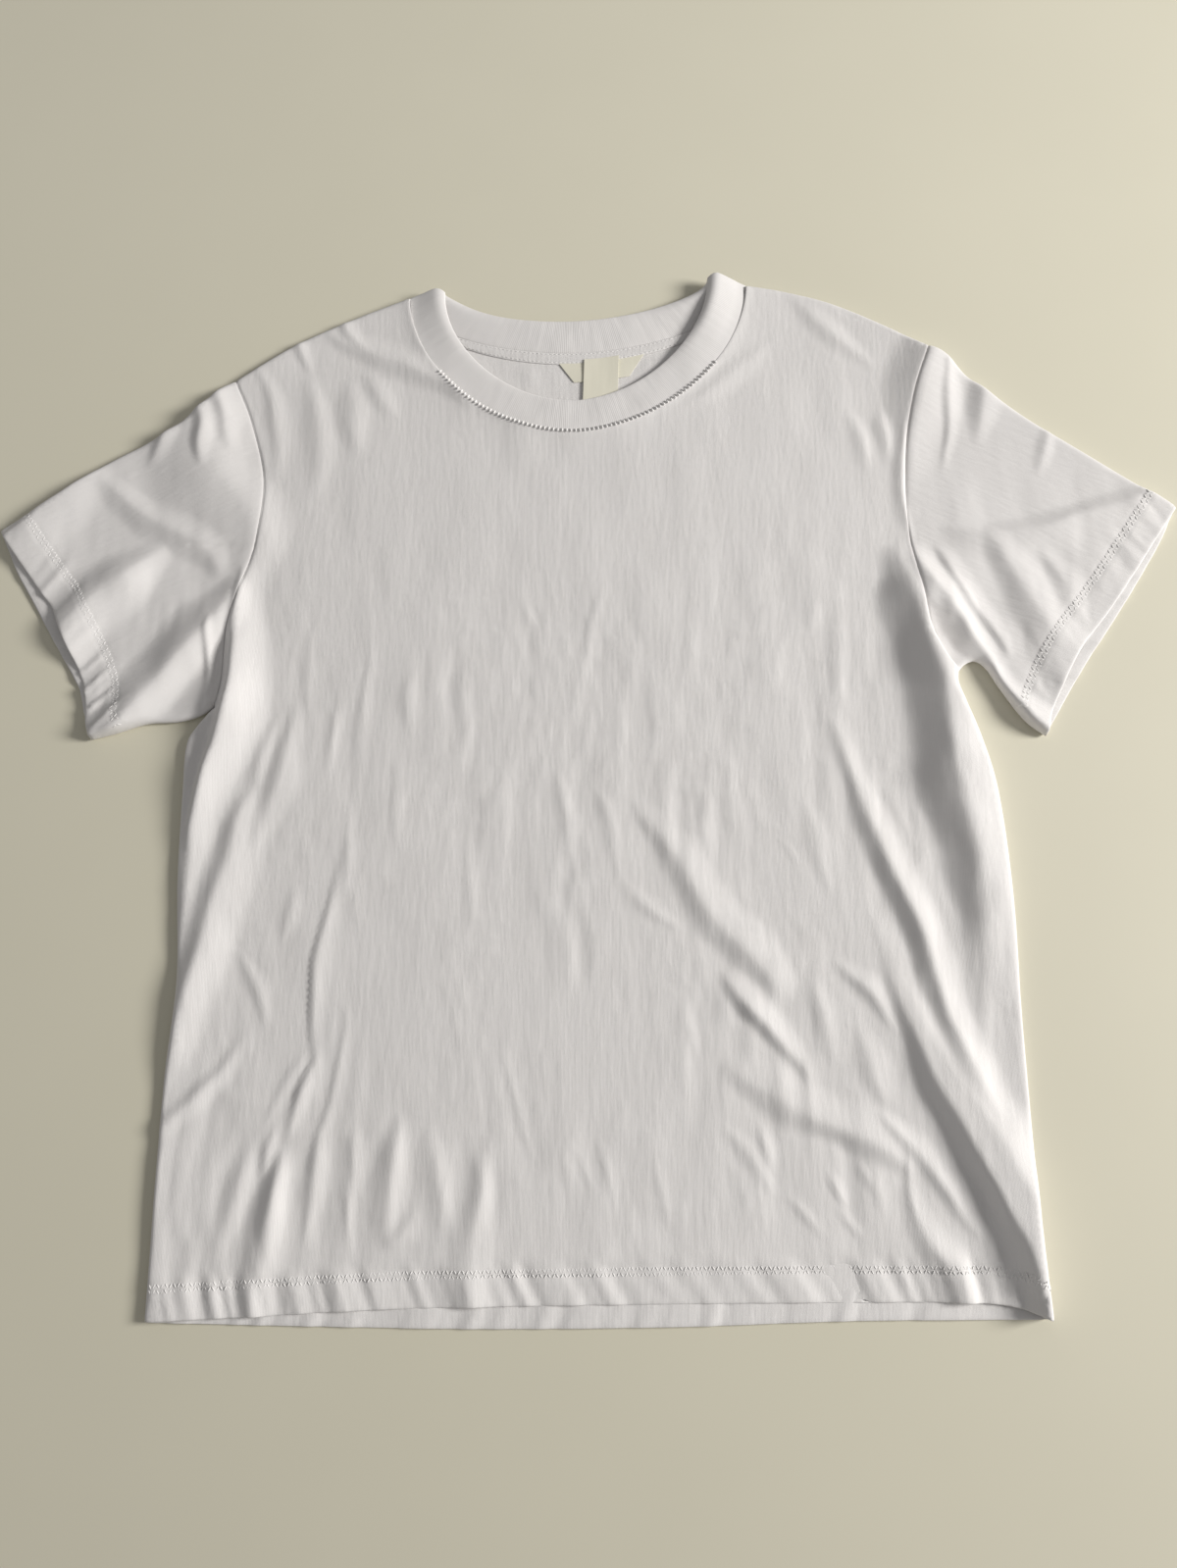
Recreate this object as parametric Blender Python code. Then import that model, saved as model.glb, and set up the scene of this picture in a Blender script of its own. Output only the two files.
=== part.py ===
"""Crew neck T-shirt of white cotton jersey, laid flat with its back on the table.

Metres, +Z up. The origin lies on the table under the middle of the back panel, +Y runs from the hem to
the neck, and +X to the sleeve on the right as the shirt is seen from above. Every piece that a maker
cuts is its own closed wall: two panels, two sleeves, the neckband, its tape and two blank labels.
"""

import math

import bmesh
import bpy
import numpy as np

MM = 0.001

# Cloth and seams
CLOTH = 1.2 * MM  # wall of the jersey
RIB = 1.4 * MM  # wall of the doubled neck rib
RIBBON = 1.0 * MM  # wall of the tape and the labels
SEAM_GAP = 0.3 * MM
ARMHOLE_GAP = 0.37 * MM  # sideways, which leaves the seam gap where the armhole slants
LAYER_GAP = 0.4 * MM  # between the front and the back where they lie on each other

# Folded edges: sides, shoulders, and the tops and undersides of the sleeves
ROLL = 4.5 * MM  # how far in from the outline the cloth is still turning over
ROLL_STEPS = (0.0, 0.6 * MM, 2.0 * MM, 4.5 * MM, 9.0 * MM)
SEAM_HEIGHT = 2.5 * MM  # the front meets the back at this height on a folded edge
EDGE_PUFF = 2.2 * MM  # a folded edge stands this much higher than the middle of the panel
EDGE_REACH = 26 * MM

# Hems are the panel's own edge turned up, so the wall is thicker there
HEM_BAND = 19 * MM
CUFF_BAND = 22 * MM
HEM_RISE = 0.8 * MM
BAND_STEP = 1.2 * MM

# Neckband
NECK_CENTRE = (-7.3 * MM, 332.2 * MM)
NECK_HALF_WIDTH = 117.3 * MM
NECK_TILT = 5.1 * MM  # the neck point on the right lies this much further from the hem than the middle
NECK_DROP_FRONT = 108 * MM
NECK_DROP_BACK = 47.5 * MM
RIM_CENTRE = (-8.5 * MM, 338.7 * MM)  # the free edge of the rib
RIM_HALF_WIDTH = 92.5 * MM
RIM_TILT = 5.3 * MM
RIM_DROP_FRONT = 91.5 * MM
RIM_DROP_BACK = 29.7 * MM
NECK_ROUNDNESS = 1.85  # 2 is an ellipse, and less has straighter sides
NECK_RISE = 1.0 * MM  # the seam allowance lifts the front panel's neck edge
NECK_RISE_REACH = 12 * MM
RIB_INSET = 0.7 * MM  # the rib's seam edge stays this far inside the panels' neck edges
RIB_FRONT_HEIGHT = 3.7 * MM  # middle of the rib's wall at the centre front
RIB_TURN = 2.6 * MM  # radius of the rib's fold at each shoulder
RIB_TUCK = 0.15  # share of the rib's width by which its back seam edge clears the panel at those folds
RIB_STAND = 2.0 * MM  # how much higher the free edge stands at those folds
RIB_BACK_STAND = 2.4 * MM  # and at the centre back
RIB_TURN_ANGLES = (90, 60, 30, 0, -30, -60)

TAPE_WIDTH = 7.5 * MM
TAPE_END = 0.88  # the tape stops at this share of the neck's half width
TAPE_STATIONS = 20
LABEL_CENTRE_X = 9.0 * MM
LABEL_TOP_WIDTH = 62 * MM
LABEL_FOOT_WIDTH = 36 * MM
LABEL_DROP = 15 * MM
TAB_WIDTH = 24 * MM
TAB_LENGTH = 38 * MM
TAB_TUCK = 17 * MM  # past this distance from the tape the tab lies on the panel, under the front rib

# Outline of the shirt as it lies, in millimetres
SIDE_LEFT = (  # x, y, from the hem to the underarm
    (-250.2, -335.0), (-250.8, -257.0), (-250.6, -200.0), (-248.2, -145.0),
    (-252.8, -85.0), (-254.3, -30.0), (-254.4, 2.0), (-248.6, 15.5), (-238.6, 27.5),
)
SIDE_RIGHT = (
    (261.0, -333.5), (259.2, -289.0), (259.4, -229.5), (259.4, -162.0),
    (260.4, -100.0), (257.4, -36.0), (251.2, 5.0), (242.8, 31.8), (238.8, 47.0), (240.8, 58.5),
)
ARMHOLE_LEFT = (  # x, y, from the underarm to the shoulder
    (-238.6, 27.5), (-235.8, 46.0), (-235.0, 75.0), (-228.5, 106.0),
    (-219.2, 144.0), (-217.6, 186.0), (-228.6, 230.0), (-241.9, 262.3),
)
ARMHOLE_RIGHT = (
    (240.8, 58.5), (234.4, 75.0), (226.0, 96.0), (216.6, 126.0),
    (211.8, 165.0), (214.0, 212.0), (221.4, 253.0), (233.6, 288.4),
)
SHOULDER_LEFT = ((-241.9, 262.3), (-203.2, 289.7), (-160.0, 312.0), (-124.6, 327.1))  # x, y
SHOULDER_RIGHT = ((110.0, 337.3), (137.2, 332.6), (171.0, 322.4), (210.8, 302.9), (233.6, 288.4))
SLEEVE_TOP_LEFT = (  # x, y, from the shoulder to the cuff
    (-241.9, 262.3), (-252.0, 255.0), (-266.9, 239.7), (-277.3, 228.5),
    (-298.0, 214.5), (-329.2, 195.5), (-389.6, 150.3),
)
SLEEVE_TOP_RIGHT = (
    (233.6, 288.4), (246.7, 282.1), (259.0, 266.8), (268.4, 258.5),
    (299.6, 232.3), (330.7, 210.1), (391.0, 167.4),
)
SLEEVE_FOOT_LEFT = (  # x, y, from the underarm to the cuff
    (-238.6, 27.5), (-249.3, 21.2), (-262.0, 18.0), (-280.1, 16.8), (-298.2, 11.0), (-315.1, 6.4),
)
SLEEVE_FOOT_RIGHT = (
    (240.8, 58.5), (249.5, 58.8), (256.0, 53.5), (263.4, 40.4), (277.1, 19.7), (289.9, 9.0),
)
CUFF_LEFT = (  # front_x, front_y, back_x, back_y, from the top of the sleeve to its underside
    (-389.6, 150.3, -389.6, 150.3), (-373.9, 127.9, -376.5, 122.5), (-358.7, 107.1, -363.6, 101.0),
    (-348.4, 94.0, -352.0, 82.0), (-337.0, 71.5, -340.0, 62.5), (-323.1, 41.7, -327.2, 41.5),
    (-319.5, 18.7, -320.5, 20.0), (-315.1, 6.4, -315.1, 6.4),
)
CUFF_RIGHT = (
    (391.0, 167.4, 391.0, 167.4), (375.0, 144.0, 378.6, 143.0), (360.5, 123.0, 365.4, 122.0),
    (337.9, 92.0, 344.6, 91.0), (314.6, 63.0, 321.0, 58.0), (296.7, 28.5, 303.0, 30.0),
    (289.9, 9.0, 289.9, 9.0),
)
HEM_FRONT = (  # x, y
    (-250.2, -335.0), (-190.0, -332.2), (-110.6, -328.3), (0.0, -326.3),
    (160.0, -324.8), (231.0, -325.6), (261.0, -333.5),
)
HEM_BACK = (
    (-250.2, -335.4), (-166.0, -337.2), (-55.0, -338.8), (55.0, -337.6),
    (150.0, -334.6), (261.0, -333.9),
)

# Folds of the front: crest from start over middle to end, all in millimetres. The crest falls to the
# cloth around it over left_width towards -X and over right_width towards +X.
FOLDS = (
    # name, start_x, start_y, middle_x, middle_y, end_x, end_y, height, left_width, right_width
    ("right side", 211, 122, 224, 20, 241, -104, 11.0, 24, 30),
    ("right waist", 161, 2, 204, -120, 244, -218, 6.0, 20, 30),
    ("right hem", 191, -166, 226, -240, 255, -303, 8.0, 18, 28),
    ("middle upper", 27, -44, 63, -101, 104, -140, 2.6, 18, 24),
    ("middle lower", 80, -143, 104, -172, 130, -203, 2.6, 16, 22),
    ("low right", 84, -203, 142, -230, 198, -272, 3.0, 18, 22),
    ("left underarm", -228, 96, -236, 14, -249, -84, 7.5, 12, 30),
    ("left waist", -210, -58, -223, -120, -247, -214, 3.2, 15, 25),
    ("left hem", -172, -246, -180, -284, -186, -326, 2.6, 12, 12),
    ("left shoulder", -180, 288, -127, 272, -74, 222, 2.4, 16, 18),
    ("left chest", -182, 262, -146, 234, -112, 198, 2.0, 14, 18),
    ("right chest", 128, 286, 92, 262, 34, 222, 2.0, 18, 16),
    ("left sleeve middle", -262, 136, -305, 110, -344, 82, 4.6, 26, 14),
    ("left sleeve low", -241, 96, -280, 57, -316, 21, 7.0, 22, 16),
    ("right sleeve low", 223, 120, 256, 74, 291, 15, 9.0, 12, 30),
    ("right sleeve middle", 281, 116, 297, 76, 309, 46, 3.4, 14, 18),
    ("right shoulder cap", 236, 276, 237, 240, 232, 196, 2.2, 10, 14),
)
FOLD_POINTS = 16
FOLD_TAPER = 0.3  # share of a fold's length over which each end dies out

FRONT_SHOULDER_COLUMNS = 7
BACK_SHOULDER_COLUMNS = 4
FRONT_NECK_COLUMNS = 20  # the rib's stations lie at the same angles as the panels' neck columns
BACK_NECK_COLUMNS = 16
FRONT_BODY_ROWS = 19
BACK_BODY_ROWS = 10
ARMHOLE_ROWS = 11
SLEEVE_STATIONS = 8
CURVE_STEPS = 12  # straight steps between two named points of a curve

MATERIALS = {
    # name: colour, roughness
    "jersey": ((0.80, 0.79, 0.80), 0.92),
    "rib": ((0.80, 0.79, 0.80), 0.90),
    "tape": ((0.79, 0.78, 0.78), 0.90),
    "label": ((0.78, 0.76, 0.64), 0.55),
}

FRONT_FLAT = 2 * CLOTH + LAYER_GAP  # outer face of the front where both panels lie flat


# --- curves ---------------------------------------------------------------------------------------


def smooth_curve(points_mm):
    """A dense line through named points given in millimetres, rounded between them."""
    p = np.array(points_mm, float) * MM
    p = np.vstack([2 * p[0] - p[1], p, 2 * p[-1] - p[-2]])
    t = np.linspace(0, 1, CURVE_STEPS, endpoint=False)[:, None]
    line = []
    for a, b, c, d in zip(p[:-3], p[1:-2], p[2:-1], p[3:]):
        line.append(
            b
            + 0.5 * t * (c - a)
            + t**2 * (a - 2.5 * b + 2 * c - 0.5 * d)
            + t**3 * (1.5 * b - 1.5 * c + 0.5 * d - 0.5 * a)
        )
    return np.vstack(line + [p[-2:-1]])


def at_share(line, share):
    """Points of a line at shares of its length."""
    step = np.linalg.norm(np.diff(line, axis=0), axis=1)
    along = np.concatenate([[0], np.cumsum(step)])
    at = np.asarray(share) * along[-1]
    return np.stack([np.interp(at, along, line[:, k]) for k in range(line.shape[1])], axis=-1)


def length_of(line):
    return np.linalg.norm(np.diff(line, axis=0), axis=1).sum()


def power(value, exponent):
    return np.sign(value) * np.abs(value) ** exponent


def neck_curve(angle, centre, half_width, tilt, drop):
    """Half of a neck edge: angle 0 is the neck point on the right and pi the one on the left."""
    across = power(np.cos(angle), 2 / NECK_ROUNDNESS)
    down = power(np.abs(np.sin(angle)), 2 / NECK_ROUNDNESS)
    return np.stack(
        [centre[0] + half_width * across, centre[1] + tilt * across - drop * down], axis=-1
    )


side_left, side_right = smooth_curve(SIDE_LEFT), smooth_curve(SIDE_RIGHT)
armhole_left, armhole_right = smooth_curve(ARMHOLE_LEFT), smooth_curve(ARMHOLE_RIGHT)
shoulder_left, shoulder_right = smooth_curve(SHOULDER_LEFT), smooth_curve(SHOULDER_RIGHT)
top_left, top_right = smooth_curve(SLEEVE_TOP_LEFT), smooth_curve(SLEEVE_TOP_RIGHT)
foot_left, foot_right = smooth_curve(SLEEVE_FOOT_LEFT), smooth_curve(SLEEVE_FOOT_RIGHT)

# Every folded edge, run so that the cloth lies on its left hand
BODY_EDGES = (side_right, shoulder_right[::-1], shoulder_left[::-1], side_left[::-1])
LEFT_SLEEVE_EDGES = (top_left, foot_left[::-1])
RIGHT_SLEEVE_EDGES = (foot_right, top_right[::-1])
FOLDED_EDGES = BODY_EDGES + LEFT_SLEEVE_EDGES + RIGHT_SLEEVE_EDGES


def to_line(points, line):
    """Distance of points from a line, the nearest points on it, its direction there and their share."""
    a, b = line[:-1], line[1:]
    d = b - a
    t = ((points[:, None] - a) * d).sum(2) / (d * d).sum(1)
    t = np.clip(t, 0, 1)
    near = a + t[..., None] * d
    away = np.linalg.norm(points[:, None] - near, axis=2)
    i = away.argmin(1)
    row = np.arange(len(points))
    return away[row, i], near[row, i], d[i], (i + t[row, i]) / len(d)


def to_folded_edge(points, edges=FOLDED_EDGES):
    """Distance of points from the nearest folded edge, and the way in from it."""
    best = np.full(len(points), np.inf)
    inward = np.zeros((len(points), 2))
    for line in edges:
        away, near, along, _ = to_line(points, line)
        normal = np.stack([-along[:, 1], along[:, 0]], axis=1)
        normal /= np.linalg.norm(normal, axis=1)[:, None]
        radial = (points - near) / np.maximum(away, 1e-9)[:, None]
        use = (away > 0.2 * MM) & ((radial * normal).sum(1) > 0)
        way = np.where(use[:, None], radial, normal)
        closer = away < best
        best = np.where(closer, away, best)
        inward[closer] = way[closer]
    return best, inward


# --- heights --------------------------------------------------------------------------------------


def fade(value):
    """From 1 at 0 to 0 at 1 and beyond."""
    v = np.clip(value, 0, 1)
    return 0.5 * (1 + np.cos(math.pi * v))


def turning(distance):
    """How much of its height a folded edge has reached at a distance from the outline."""
    return np.sqrt(np.clip(1 - (1 - np.clip(distance / ROLL, 0, 1)) ** 2, 0, 1))


def fold_height(points):
    height = np.zeros(len(points))
    share = np.linspace(0, 1, FOLD_POINTS)[:, None]
    for _, x0, y0, x1, y1, x2, y2, crest, left, right in FOLDS:
        start, middle, end = np.array([(x0, y0), (x1, y1), (x2, y2)], float) * MM
        bend = 2 * middle - 0.5 * (start + end)
        line = (1 - share) ** 2 * start + 2 * share * (1 - share) * bend + share**2 * end
        away, near, _, at = to_line(points, line)
        width = np.where(points[:, 0] < near[:, 0], left, right) * MM
        ends = fade(1 - at / FOLD_TAPER) * fade(1 - (1 - at) / FOLD_TAPER)
        height += crest * MM * ends * fade(away / width)
    return height


neck_front_line = neck_curve(
    np.linspace(0, math.pi, 60), NECK_CENTRE, NECK_HALF_WIDTH, NECK_TILT, NECK_DROP_FRONT
)


def front_height(points):
    """Outer face of the front and of the sleeves' fronts, before the edges turn over."""
    edge, _ = to_folded_edge(points)
    neck = to_line(points, neck_front_line)[0]
    height = FRONT_FLAT + EDGE_PUFF * np.exp(-edge / EDGE_REACH)
    height += NECK_RISE * np.exp(-neck / NECK_RISE_REACH)
    return height + fold_height(points)


def moved_in(points, own_edges):
    """A wall's inner face lies further in where the cloth is turning over."""
    distance, inward = to_folded_edge(points, own_edges)
    return points + inward * (CLOTH * (1 - np.clip(distance / ROLL, 0, 1)))[:, None]


def front_skins(plan, lift, rise, own_edges):
    """Outer and inner faces of a front wall over plan points. lift raises both, rise only the outer."""
    shape = plan.shape[:2]
    points = plan.reshape(-1, 2)
    up = turning(to_folded_edge(points)[0])
    height = front_height(points) + lift.ravel()
    outer = SEAM_HEIGHT + (height + rise.ravel() - SEAM_HEIGHT) * up
    inner = SEAM_HEIGHT + (height - CLOTH - SEAM_HEIGHT) * up
    inside = moved_in(points, own_edges)
    return (
        np.column_stack([points, outer]).reshape(*shape, 3),
        np.column_stack([inside, inner]).reshape(*shape, 3),
    )


def back_skins(plan, rise, own_edges):
    """Upper and under faces of a back wall over plan points: flat on the table, turned up at folds."""
    shape = plan.shape[:2]
    points = plan.reshape(-1, 2)
    up = turning(to_folded_edge(points)[0])
    seam = SEAM_HEIGHT - SEAM_GAP
    upper = seam + (CLOTH + rise.ravel() - seam) * up
    under = seam * (1 - up)
    inside = moved_in(points, own_edges)
    return (
        np.column_stack([inside, upper]).reshape(*shape, 3),
        np.column_stack([points, under]).reshape(*shape, 3),
    )


# --- walls ----------------------------------------------------------------------------------------


def wall(name, upper, under, material, ring_u=False, ring_v=False):
    """A closed wall between two faces of the same grid, which may close on itself either way."""
    us, vs = upper.shape[:2]

    def corner(face, u, v):
        return (face * us + u % us) * vs + v % vs

    faces = []
    for u in range(us if ring_u else us - 1):
        for v in range(vs if ring_v else vs - 1):
            square = ((u, v), (u + 1, v), (u + 1, v + 1), (u, v + 1))
            faces.append([corner(0, *at) for at in square])
            faces.append([corner(1, *at) for at in reversed(square)])
    if not ring_v:
        for u in range(us if ring_u else us - 1):
            for v in (0, vs - 1):
                edge = [corner(0, u, v), corner(0, u + 1, v), corner(1, u + 1, v), corner(1, u, v)]
                faces.append(edge if v else edge[::-1])
    if not ring_u:
        for v in range(vs if ring_v else vs - 1):
            for u in (0, us - 1):
                edge = [corner(0, u, v), corner(0, u, v + 1), corner(1, u, v + 1), corner(1, u, v)]
                faces.append(edge[::-1] if u else edge)
    mesh = bpy.data.meshes.new(name)
    mesh.from_pydata(np.vstack([upper.reshape(-1, 3), under.reshape(-1, 3)]).tolist(), [], faces)
    shell = bmesh.new()
    shell.from_mesh(mesh)
    bmesh.ops.recalc_face_normals(shell, faces=shell.faces)
    if shell.calc_volume(signed=True) < 0:
        bmesh.ops.reverse_faces(shell, faces=shell.faces)
    shell.to_mesh(mesh)
    shell.free()
    mesh.shade_smooth()
    mesh.materials.append(material)
    piece = bpy.data.objects.new(name, mesh)
    bpy.context.scene.collection.objects.link(piece)
    return piece


# --- panels ---------------------------------------------------------------------------------------


def body_grid(neck_drop, hem_mm, neck_columns, shoulder_columns, body_rows):
    """Plan points of a panel: columns from left to right, rows from the hem to shoulder and neck."""
    hem = smooth_curve(hem_mm)
    left_line = np.vstack([side_left, armhole_left[1:]])
    right_line = np.vstack([side_right, armhole_right[1:]])
    angles = np.linspace(math.pi, 0, neck_columns + 1)
    neck = neck_curve(angles, NECK_CENTRE, NECK_HALF_WIDTH, NECK_TILT, neck_drop)
    inner = ROLL_STEPS[-1]
    shares = np.linspace(0, 1, shoulder_columns + 1)
    reach_left = (shoulder_left[0, 0] + inner, shoulder_left[-1, 0])
    reach_right = (shoulder_right[0, 0], shoulder_right[-1, 0] - inner)
    tops = [
        np.column_stack([x, np.interp(x, line[:, 0], line[:, 1])])
        for line, x in (
            (shoulder_left, reach_left[0] + shares[:-1] * (reach_left[1] - reach_left[0])),
            (shoulder_right, reach_right[0] + shares[1:] * (reach_right[1] - reach_right[0])),
        )
    ]
    middle_tops = np.vstack([tops[0], neck, tops[1]])

    def left_x(y):
        return np.interp(y, left_line[:, 1], left_line[:, 0])

    def right_x(y):
        return np.interp(y, right_line[:, 1], right_line[:, 0])

    def column(x_of, top):
        underarm = 0.5 * (armhole_left[0, 1] + armhole_right[0, 1])
        mix = (top[0] - armhole_left[0, 0]) / (armhole_right[0, 0] - armhole_left[0, 0])
        underarm = armhole_left[0, 1] + np.clip(mix, 0, 1) * (armhole_right[0, 1] - armhole_left[0, 1])
        foot = np.interp(x_of(hem[0, 1]), hem[:, 0], hem[:, 1])
        band = foot + HEM_BAND
        rows = np.concatenate([
            [foot, band, band + BAND_STEP],
            np.linspace(band + BAND_STEP, underarm, body_rows + 1)[1:-1],
            underarm + np.array(ROLL_STEPS),
            np.linspace(underarm + inner, top[1] - inner, ARMHOLE_ROWS + 1)[1:-1],
            top[1] - np.array(ROLL_STEPS[::-1]),
        ])
        return np.column_stack([[x_of(y) for y in rows], rows])

    columns = []
    for offset in ROLL_STEPS[:-1]:
        top_x = shoulder_left[0, 0] + offset
        top = (top_x, np.interp(top_x, shoulder_left[:, 0], shoulder_left[:, 1]))
        columns.append(column(lambda y, o=offset: left_x(y) + o, top))
    for top in middle_tops:
        low, high = left_x(top[1]) + inner, right_x(top[1]) - inner
        share = (top[0] - low) / (high - low)
        columns.append(column(
            lambda y, s=share: (1 - s) * (left_x(y) + inner) + s * (right_x(y) - inner), top
        ))
    for offset in ROLL_STEPS[-2::-1]:
        top_x = shoulder_right[-1, 0] - offset
        top = (top_x, np.interp(top_x, shoulder_right[:, 0], shoulder_right[:, 1]))
        columns.append(column(lambda y, o=offset: right_x(y) - o, top))
    return np.array(columns)


def hem_raise(plan):
    """1 on a panel's hem band, 0 above it, and the lift that eases the front over the band below."""
    from_foot = plan[:, :, 1] - plan[:, :1, 1]
    band = (from_foot < HEM_BAND + 0.5 * BAND_STEP).astype(float)
    return HEM_RISE * band, HEM_RISE * fade((from_foot - HEM_BAND) / HEM_BAND)


def front_panel(material):
    plan = body_grid(
        NECK_DROP_FRONT, HEM_FRONT, FRONT_NECK_COLUMNS, FRONT_SHOULDER_COLUMNS, FRONT_BODY_ROWS
    )
    rise, lift = hem_raise(plan)
    upper, under = front_skins(plan, lift, rise, BODY_EDGES)
    return wall("front_panel", upper, under, material)


def back_panel(material):
    plan = body_grid(
        NECK_DROP_BACK, HEM_BACK, BACK_NECK_COLUMNS, BACK_SHOULDER_COLUMNS, BACK_BODY_ROWS
    )
    rise, _ = hem_raise(plan)
    upper, under = back_skins(plan, rise, BODY_EDGES)
    return wall("back_panel", upper, under, material)


# --- sleeves --------------------------------------------------------------------------------------


def armhole_rows(armhole):
    """The armhole's points at the same heights as the panels' rows, from the shoulder down."""
    underarm, top, inner = armhole[0, 1], armhole[-1, 1], ROLL_STEPS[-1]
    rows = np.concatenate([
        underarm + np.array(ROLL_STEPS),
        np.linspace(underarm + inner, top - inner, ARMHOLE_ROWS + 1)[1:-1],
        top - np.array(ROLL_STEPS[::-1]),
    ])[::-1]
    return np.column_stack([np.interp(rows, armhole[:, 1], armhole[:, 0]), rows])


def sleeve_grid(armhole, top, foot, cuff, outward):
    """Plan points of one layer of a sleeve: stations from armhole to cuff, each from top to foot."""
    seam = armhole_rows(armhole)
    share = np.concatenate([[0], np.cumsum(np.linalg.norm(np.diff(seam, axis=0), axis=1))])
    share = share / share[-1]
    end = at_share(cuff, share)
    band = CUFF_BAND / length_of(top)
    step = BAND_STEP / length_of(top)
    along = np.concatenate([np.linspace(0, 1 - band - step, SLEEVE_STATIONS), [1 - band, 1]])
    upper, lower = at_share(top, along), at_share(foot, along)
    u, v = along[:, None, None], share[None, :, None]
    grid = (
        (1 - u) * seam[None]
        + u * end[None]
        + (1 - v) * upper[:, None]
        + v * lower[:, None]
        - (1 - u) * ((1 - v) * seam[0] + v * seam[-1])
        - u * ((1 - v) * end[0] + v * end[-1])
    )
    grid[:, :, 0] += outward * ARMHOLE_GAP
    return turned_steps(grid)


def turned_steps(grid):
    """Moves the points nearest the folded edges to the fixed distances where the cloth turns over."""
    count = len(ROLL_STEPS)
    for station in grid:
        for order in (station, station[::-1]):
            first = order[0].copy()
            way = order[count + 1] - first
            way /= np.linalg.norm(way)
            for k, distance in enumerate(ROLL_STEPS[1:-1], start=1):
                order[k] = first + way * distance
    return grid


def sleeve(name, armhole, top, foot, cuff_mm, outward, own_edges, material):
    cuff = smooth_curve(cuff_mm)
    front = sleeve_grid(armhole, top, foot, cuff[:, :2], outward)
    back = sleeve_grid(armhole, top, foot, cuff[:, 2:], outward)
    band = np.zeros(front.shape[:2])
    band[-2:] = HEM_RISE
    lift = np.zeros(front.shape[:2])
    lift[-3:] = HEM_RISE
    lift[-4] = 0.5 * HEM_RISE
    front_outer, front_inner = front_skins(front, lift, band, own_edges)
    back_inner, back_outer = back_skins(back, band, own_edges)
    # The two layers share one point on each folded edge
    outer = np.concatenate([front_outer, back_outer[:, -2:0:-1]], axis=1)
    inner = np.concatenate([front_inner, back_inner[:, -2:0:-1]], axis=1)
    return wall(name, outer, inner, material, ring_v=True)


# --- neck -----------------------------------------------------------------------------------------


def rib_lines(angle, front):
    seam_drop = NECK_DROP_FRONT if front else NECK_DROP_BACK
    rim_drop = RIM_DROP_FRONT if front else RIM_DROP_BACK
    seam = neck_curve(
        angle, NECK_CENTRE, NECK_HALF_WIDTH - RIB_INSET, NECK_TILT, seam_drop - RIB_INSET
    )
    rim = neck_curve(angle, RIM_CENTRE, RIM_HALF_WIDTH, RIM_TILT, rim_drop)
    return seam, rim


def rib_station(angle, front, turn):
    """Three points across the rib's middle, from its seam to its free edge. turn is in degrees."""
    seam, rim = rib_lines(angle, front)
    sideways = abs(math.cos(angle))
    across = rim - seam
    fold_seam, fold_rim = rib_lines(0.0 if math.cos(angle) > 0 else math.pi, front)
    fold = fold_rim - fold_seam
    out = np.array([-fold[1], fold[0]]) / np.linalg.norm(fold)
    out = out if out[1] > 0 else -out
    around = math.radians(turn)
    reach = RIB_TURN * math.cos(around) - (RIB_TURN + 0.5 * RIB) * sideways**8
    tuck = RIB_TUCK * sideways**8 * 0.5 * (1 - math.sin(around))
    back_height = 0.5 * RIB + 0.1 * MM
    fold_height_here = back_height + RIB_TURN * (1 + math.sin(around))
    points = []
    for share in (0.0, 0.5, 1.0):
        place = seam + (tuck + share * (1 - tuck)) * across + out * reach
        flat = RIB_FRONT_HEIGHT if front else back_height + RIB_BACK_STAND * share * (1 - sideways**4)
        stand = RIB_STAND * share * sideways**6
        height = flat + (fold_height_here - flat) * sideways**6 + stand
        points.append((place[0], place[1], height))
    return points


def neck_rib(material):
    stations = []
    for k in range(1, FRONT_NECK_COLUMNS):
        stations.append(rib_station(math.pi * (1 - k / FRONT_NECK_COLUMNS), True, 90))
    for turn in RIB_TURN_ANGLES:
        stations.append(rib_station(0.0, True, turn))
    for k in range(BACK_NECK_COLUMNS + 1):
        stations.append(rib_station(math.pi * k / BACK_NECK_COLUMNS, False, -90))
    for turn in RIB_TURN_ANGLES[::-1]:
        stations.append(rib_station(math.pi, True, turn))
    middle = np.array(stations)
    along = np.roll(middle, -1, axis=0) - np.roll(middle, 1, axis=0)
    across = np.gradient(middle, axis=1)
    normal = np.cross(along, across)
    normal /= np.linalg.norm(normal, axis=2)[..., None]
    return wall(
        "neck_rib", middle + 0.5 * RIB * normal, middle - 0.5 * RIB * normal, material, ring_u=True
    )


def plate(name, plan, base, material):
    """A ribbon lying over heights given for each of its plan points."""
    under = np.concatenate([plan, base[..., None]], axis=2)
    upper = under + np.array([0, 0, RIBBON])
    return wall(name, upper, under, material)


def neck_tape(material):
    reach = math.acos(TAPE_END)
    angle = np.linspace(math.pi - reach, reach, TAPE_STATIONS)
    seam = neck_curve(angle, NECK_CENTRE, NECK_HALF_WIDTH, NECK_TILT, NECK_DROP_BACK)
    seam[:, 1] -= SEAM_GAP
    low = seam - np.array([0, TAPE_WIDTH])
    plan = np.stack([seam, 0.5 * (seam + low), low], axis=1)
    base = np.full(plan.shape[:2], CLOTH + SEAM_GAP)
    return plate("neck_tape", plan, base, material)


def tape_foot(x):
    angle = np.linspace(math.pi, 0, 200)
    seam = neck_curve(angle, NECK_CENTRE, NECK_HALF_WIDTH, NECK_TILT, NECK_DROP_BACK)
    return np.interp(x, seam[:, 0], seam[:, 1]) - TAPE_WIDTH - 2 * SEAM_GAP


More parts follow.
